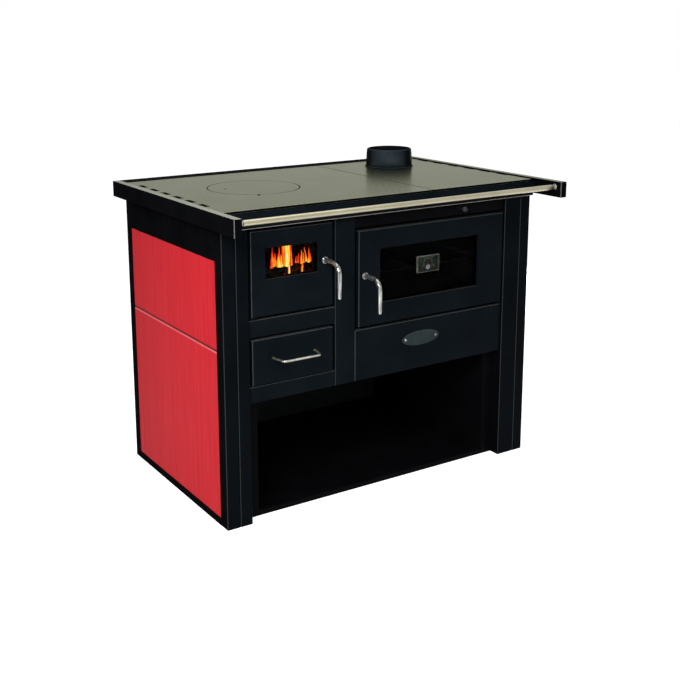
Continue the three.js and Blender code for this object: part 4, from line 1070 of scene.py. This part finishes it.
# ---- door seals
def make_seal(prefix):
    """A braided rope round the mouth, behind the door's liner."""
    node = f"{prefix}_door_seal"
    low, high, centre = extent(node)
    depth, half = (high.y - low.y) / 2, 4.75 * MM
    left, right, bottom, top = low.x + half, high.x - half, low.z + half, high.z - half
    start = (centre.x, bottom)
    plan = (start, (right, bottom), (right, top), (left, top), (left, bottom), start)
    route = fill_out(round_route([(x, centre.y, z) for x, z in plan], 12 * MM, 8), 10 * MM)
    rope = swept(route, lambda share: half, 16)
    flatten = Matrix.Translation((0, centre.y, 0)) @ Matrix.Scale(depth / half, 4, (0, 1, 0))
    bmesh.ops.transform(rope, matrix=flatten @ Matrix.Translation((0, -centre.y, 0)), verts=rope.verts)
    finish_piece(f"{prefix}_door_rope", rope, FINISHES["rope_seal"], node)


make_seal("fire")
make_seal("oven")


# ---- oven rack
def make_rack():
    """A round wire frame with straight wires from front to rear."""
    low, high, centre = extent("oven_rack")
    frame_rod, bar_rod, bars = 3 * MM, 1.8 * MM, 13
    left, right, near, far = low.x + frame_rod, high.x - frame_rod, low.y + frame_rod, high.y - frame_rod
    start = ((left + right) / 2, near)
    plan = (start, (right, near), (right, far), (left, far), (left, near), start)
    loop = [(x, y, centre.z) for x, y in plan]
    parts = [swept(round_route(loop, 12 * MM, 6), lambda share: frame_rod, 16)]
    for i in range(1, bars + 1):
        x = low.x + (high.x - low.x) * i / (bars + 1)
        ends = [Vector((x, y, centre.z)) for y in (near, far)]
        parts.append(swept(ends, lambda share: bar_rod, 12))
    finish_piece("oven_rack_wire", joined(parts), RACK_WIRE, "oven_rack")


make_rack()


# ---- thermometer dial
def make_dial():
    """A dark dial with marks and plain numbers, and a bright spring case under its hub."""
    low, high, middle = extent("thermometer_case")
    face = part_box("thermometer_needle")[1].y + 0.3 * MM
    rim, half_sheet = 4 * MM, 0.1 * MM
    sheet_low = (low.x + rim, face - half_sheet, low.z + rim)
    sheet_high = (high.x - rim, face + half_sheet, high.z - rim)
    on_door = {"body": "oven_door", "slot": "brushed_steel"}
    dial = slab(sheet_low, sheet_high, 0.04 * MM, 1)
    finish_piece("thermometer_dial", dial, DIAL_PRINT, None, "oven_door", "ceramic_glass")

    def swing(i, last):
        return math.radians(-DIAL_SWEEP + 2 * DIAL_SWEEP * i / last)

    marks, reach, ticks = [], 17.2 * MM, 23
    for i in range(ticks):
        width, length = (0.55 * MM, 3.2 * MM) if i % 2 == 0 else (0.3 * MM, 1.8 * MM)
        size = (width, 0.12 * MM, length)
        tick = slab([-s / 2 for s in size], [s / 2 for s in size])
        hub = Matrix.Translation((middle.x, face - 0.12 * MM, middle.z))
        turn = Matrix.Rotation(swing(i, ticks - 1), 4, "Y")
        out = Matrix.Translation((0, 0, reach - length / 2))
        bmesh.ops.transform(tick, matrix=hub @ turn @ out, verts=tick.verts)
        marks.append(tick)
    finish_piece("thermometer_marks", joined(marks), MARK_PAINT, **on_door)
    numbers, number_ring = ("0", "100", "200", "300"), 22.5 * MM
    for i, number in enumerate(numbers):
        angle = swing(i, len(numbers) - 1)
        letters = bpy.data.curves.new(f"number {number}", "FONT")
        letters.body = number
        letters.size = 5 * MM
        letters.align_x = letters.align_y = "CENTER"
        letters.extrude = 0.04 * MM
        holder = bpy.data.objects.new("number", letters)
        show(holder)
        bpy.context.view_layer.update()
        mesh = bpy.data.meshes.new_from_object(holder)
        bpy.data.objects.remove(holder)
        out = Vector((math.sin(angle), 0, math.cos(angle))) * number_ring
        at = out + Vector((middle.x, face - 0.18 * MM, middle.z))
        mesh.transform(Matrix.Translation(at) @ Matrix.Rotation(math.pi / 2, 4, "X"))
        finish_piece(f"thermometer_number_{number}", mesh, MARK_PAINT, smooth=False, **on_door)
    outer, bevel, thick = 6.5 * MM, 0.5 * MM, 0.5 * MM
    profile = [(0, 0), (outer, 0), (outer, -0.3 * MM), (outer - bevel, -thick), (0, -thick)]
    spring = turned(profile, "Y", (middle.x, face - 0.1 * MM, middle.z - 9.5 * MM), 32)
    finish_piece("thermometer_spring_case", spring, BRIGHT_SPRING, **on_door)


make_dial()


# ---- the fire
# How far back the flames stand, and the low licks in front of them.
FLAME_PLANE = -205 * MM
LICK_PLANE = -219 * MM


def tongue(name, plane, foot_x, tip_x, foot_z, tip_z, foot_width, tip_width, warmth):
    """One tongue of flame: a thin, slightly bowed sheet that draws in from its foot to its tip."""
    bm = bmesh.new()
    burning = bm.verts.layers.float.new("burning")
    bmesh.ops.create_grid(bm, x_segments=10, y_segments=26, size=0.5)
    for vert in bm.verts:
        side, share = vert.co.x * 2, vert.co.y + 0.5
        width = foot_width + (tip_width - foot_width) * share ** 0.9
        wave = math.sin(share * 7 + foot_x * 90) * 0.9 * MM * share
        edge = 1 - side * side
        x = foot_x + (tip_x - foot_x) * share ** 1.2 + wave + side * width / 2
        vert.co = (x, plane - edge * width * 0.25, foot_z + (tip_z - foot_z) * share)
        cooling = 1 - 0.7 * share * (1 - min(1.0, tip_width / foot_width))
        vert[burning] = (0.12 + 0.88 * edge ** 0.8) * cooling * warmth + 0.14 * edge
    finish_piece(name, as_mesh(bm, name), FLAME, None, "stove", "needle_red")


# Foot X, tip X, foot Z, tip Z, foot width, tip width in millimetres, and warmth.
TONGUES = (
    (-341, -339, 674, 708, 11, 1.5, 0.42), (-334, -337, 674, 730, 17, 1, 0.6),
    (-326, -327, 674, 712, 17, 2, 0.66), (-318, -317, 674, 729, 19, 1, 0.84),
    (-310, -309, 674, 708, 17, 2, 0.9), (-303, -301, 674, 701, 14, 1.5, 0.66),
    (-302, -306, 680, 752, 9, 14, 0.46), (-292, -297, 670, 752, 20, 15, 0.96),
    (-286, -287, 670, 752, 17, 11, 0.84), (-280, -282, 672, 745, 10, 4, 0.5),
    (-264, -264, 674, 697, 8, 1.5, 0.4), (-257, -254, 674, 704, 10, 1.5, 0.4),
    (-249, -248, 674, 713, 11, 1.5, 0.64), (-241, -240, 674, 705, 10, 1.5, 0.72),
    (-230, -236, 676, 718, 10, 1, 0.78), (-226, -224, 676, 715, 10, 1, 0.74),
    (-219, -218, 676, 700, 7, 1.5, 0.42),
)
LICKS = (
    (-296, -294, 644, 680, 7, 6, 1.1), (-255, -253, 648, 676, 10, 6, 0.6),
    (-348, -346, 642, 661, 9, 2, 0.36), (-320, -317, 642, 656, 12, 5, 0.36),
    (-307, -306, 642, 658, 10, 4, 0.4), (-281, -281, 650, 664, 4, 1, 0.3),
)
for plane, group, shapes in ((FLAME_PLANE, "flame", TONGUES), (LICK_PLANE, "lick", LICKS)):
    for index, shape in enumerate(shapes):
        deeper = plane + (index % 3) * 2.5 * MM
        tongue(f"{group}_{index + 1}", deeper, *(size * MM for size in shape[:6]), shape[6])


def make_log(name, start, end, radius, seed):
    """A round log, charred and cracked, with rough bark and worn ends."""
    start, end = Vector(start), Vector(end)
    route = fill_out([start, end], 8 * MM)
    bm = swept(route, lambda share: radius * (0.9 if share in (0.0, 1.0) else 1.0), 28)
    axis = (end - start).normalized()
    for vert in bm.verts:
        along = start + axis * (vert.co - start).dot(axis)
        out = vert.co - along
        if out.length > 0.2 * radius:
            rough = noise.noise(vert.co * 40 + Vector((seed, 0, 0))) * 0.22
            fine = noise.noise(vert.co * 140 + Vector((0, seed, 0))) * 0.1
            vert.co = along + out * (1 + rough + fine)
    finish_piece(name, bm, CHAR, None, "stove", "cast_iron")


grate_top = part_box("grate")[1].z
low_log, top_log = 30 * MM, 22 * MM
low_height, middle_height, top_height = grate_top + low_log, grate_top + 2.75 * low_log, 657 * MM
# Each log's ends in plan, in metres, then its height, its radius and the seed of its bark.
LOGS = {
    "log_low_front": ((-0.388, -0.19), (-0.222, -0.186), low_height, low_log, 9.0),
    "log_low_rear": ((-0.386, -0.118), (-0.224, -0.106), low_height, low_log, 13.0),
    "log_middle": ((-0.392, -0.17), (-0.218, -0.15), middle_height, low_log, 5.0),
    "log_front": ((-0.402, -0.197), (-0.208, -0.194), top_height, top_log, 1.0),
}
for log_name, (left_end, right_end, height, log_radius, seed) in LOGS.items():
    make_log(log_name, (*left_end, height), (*right_end, height), log_radius, seed)


# ---- studio
def make_floor():
    bm = bmesh.new()
    bmesh.ops.create_grid(bm, x_segments=8, y_segments=8, size=9)
    bmesh.ops.translate(bm, vec=(0, 0, -0.5 * MM), verts=bm.verts)
    floor = bpy.data.objects.new("floor", as_mesh(bm, "floor"))
    floor.data.materials.append(floor_finish())
    show(floor)


def make_lamp(name, place_at, size, power, target=(0, 0, 0.45)):
    data = bpy.data.lights.new(name, "AREA")
    data.shape = "RECTANGLE"
    data.size, data.size_y = size
    data.energy = power
    lamp = bpy.data.objects.new(name, data)
    aim = (Vector(target) - Vector(place_at)).to_track_quat("-Z", "Y")
    lamp.matrix_world = Matrix.Translation(place_at) @ aim.to_matrix().to_4x4()
    show(lamp)


def make_world():
    world = bpy.data.worlds.new("studio")
    world.use_nodes = True
    tree = world.node_tree
    background = tree.nodes["Background"]
    feed(background.inputs["Strength"], spread(seen_by_eye(tree), 0, 1, WORLD_LIGHT, 1))
    background.inputs["Color"].default_value = (1, 1, 1, 1)
    bpy.context.scene.world = world


make_floor()
make_world()
# Each lamp's place and size in metres, its power in watts, and where it points.
make_lamp("key", (-1.75, -1.5, 1.8), (0.9, 0.9), 50)
make_lamp("front", (-1.7, -3.0, 2.0), (0.8, 0.8), 14)
make_lamp("overhead", (0.1, 0.1, 3.2), (2.4, 2.0), 26)
make_lamp("low rear fill", (2.5, 1.1, 0.42), (1.2, 0.75), 26, (0, 0, 0.42))
bpy.context.scene.view_settings.view_transform = "Standard"
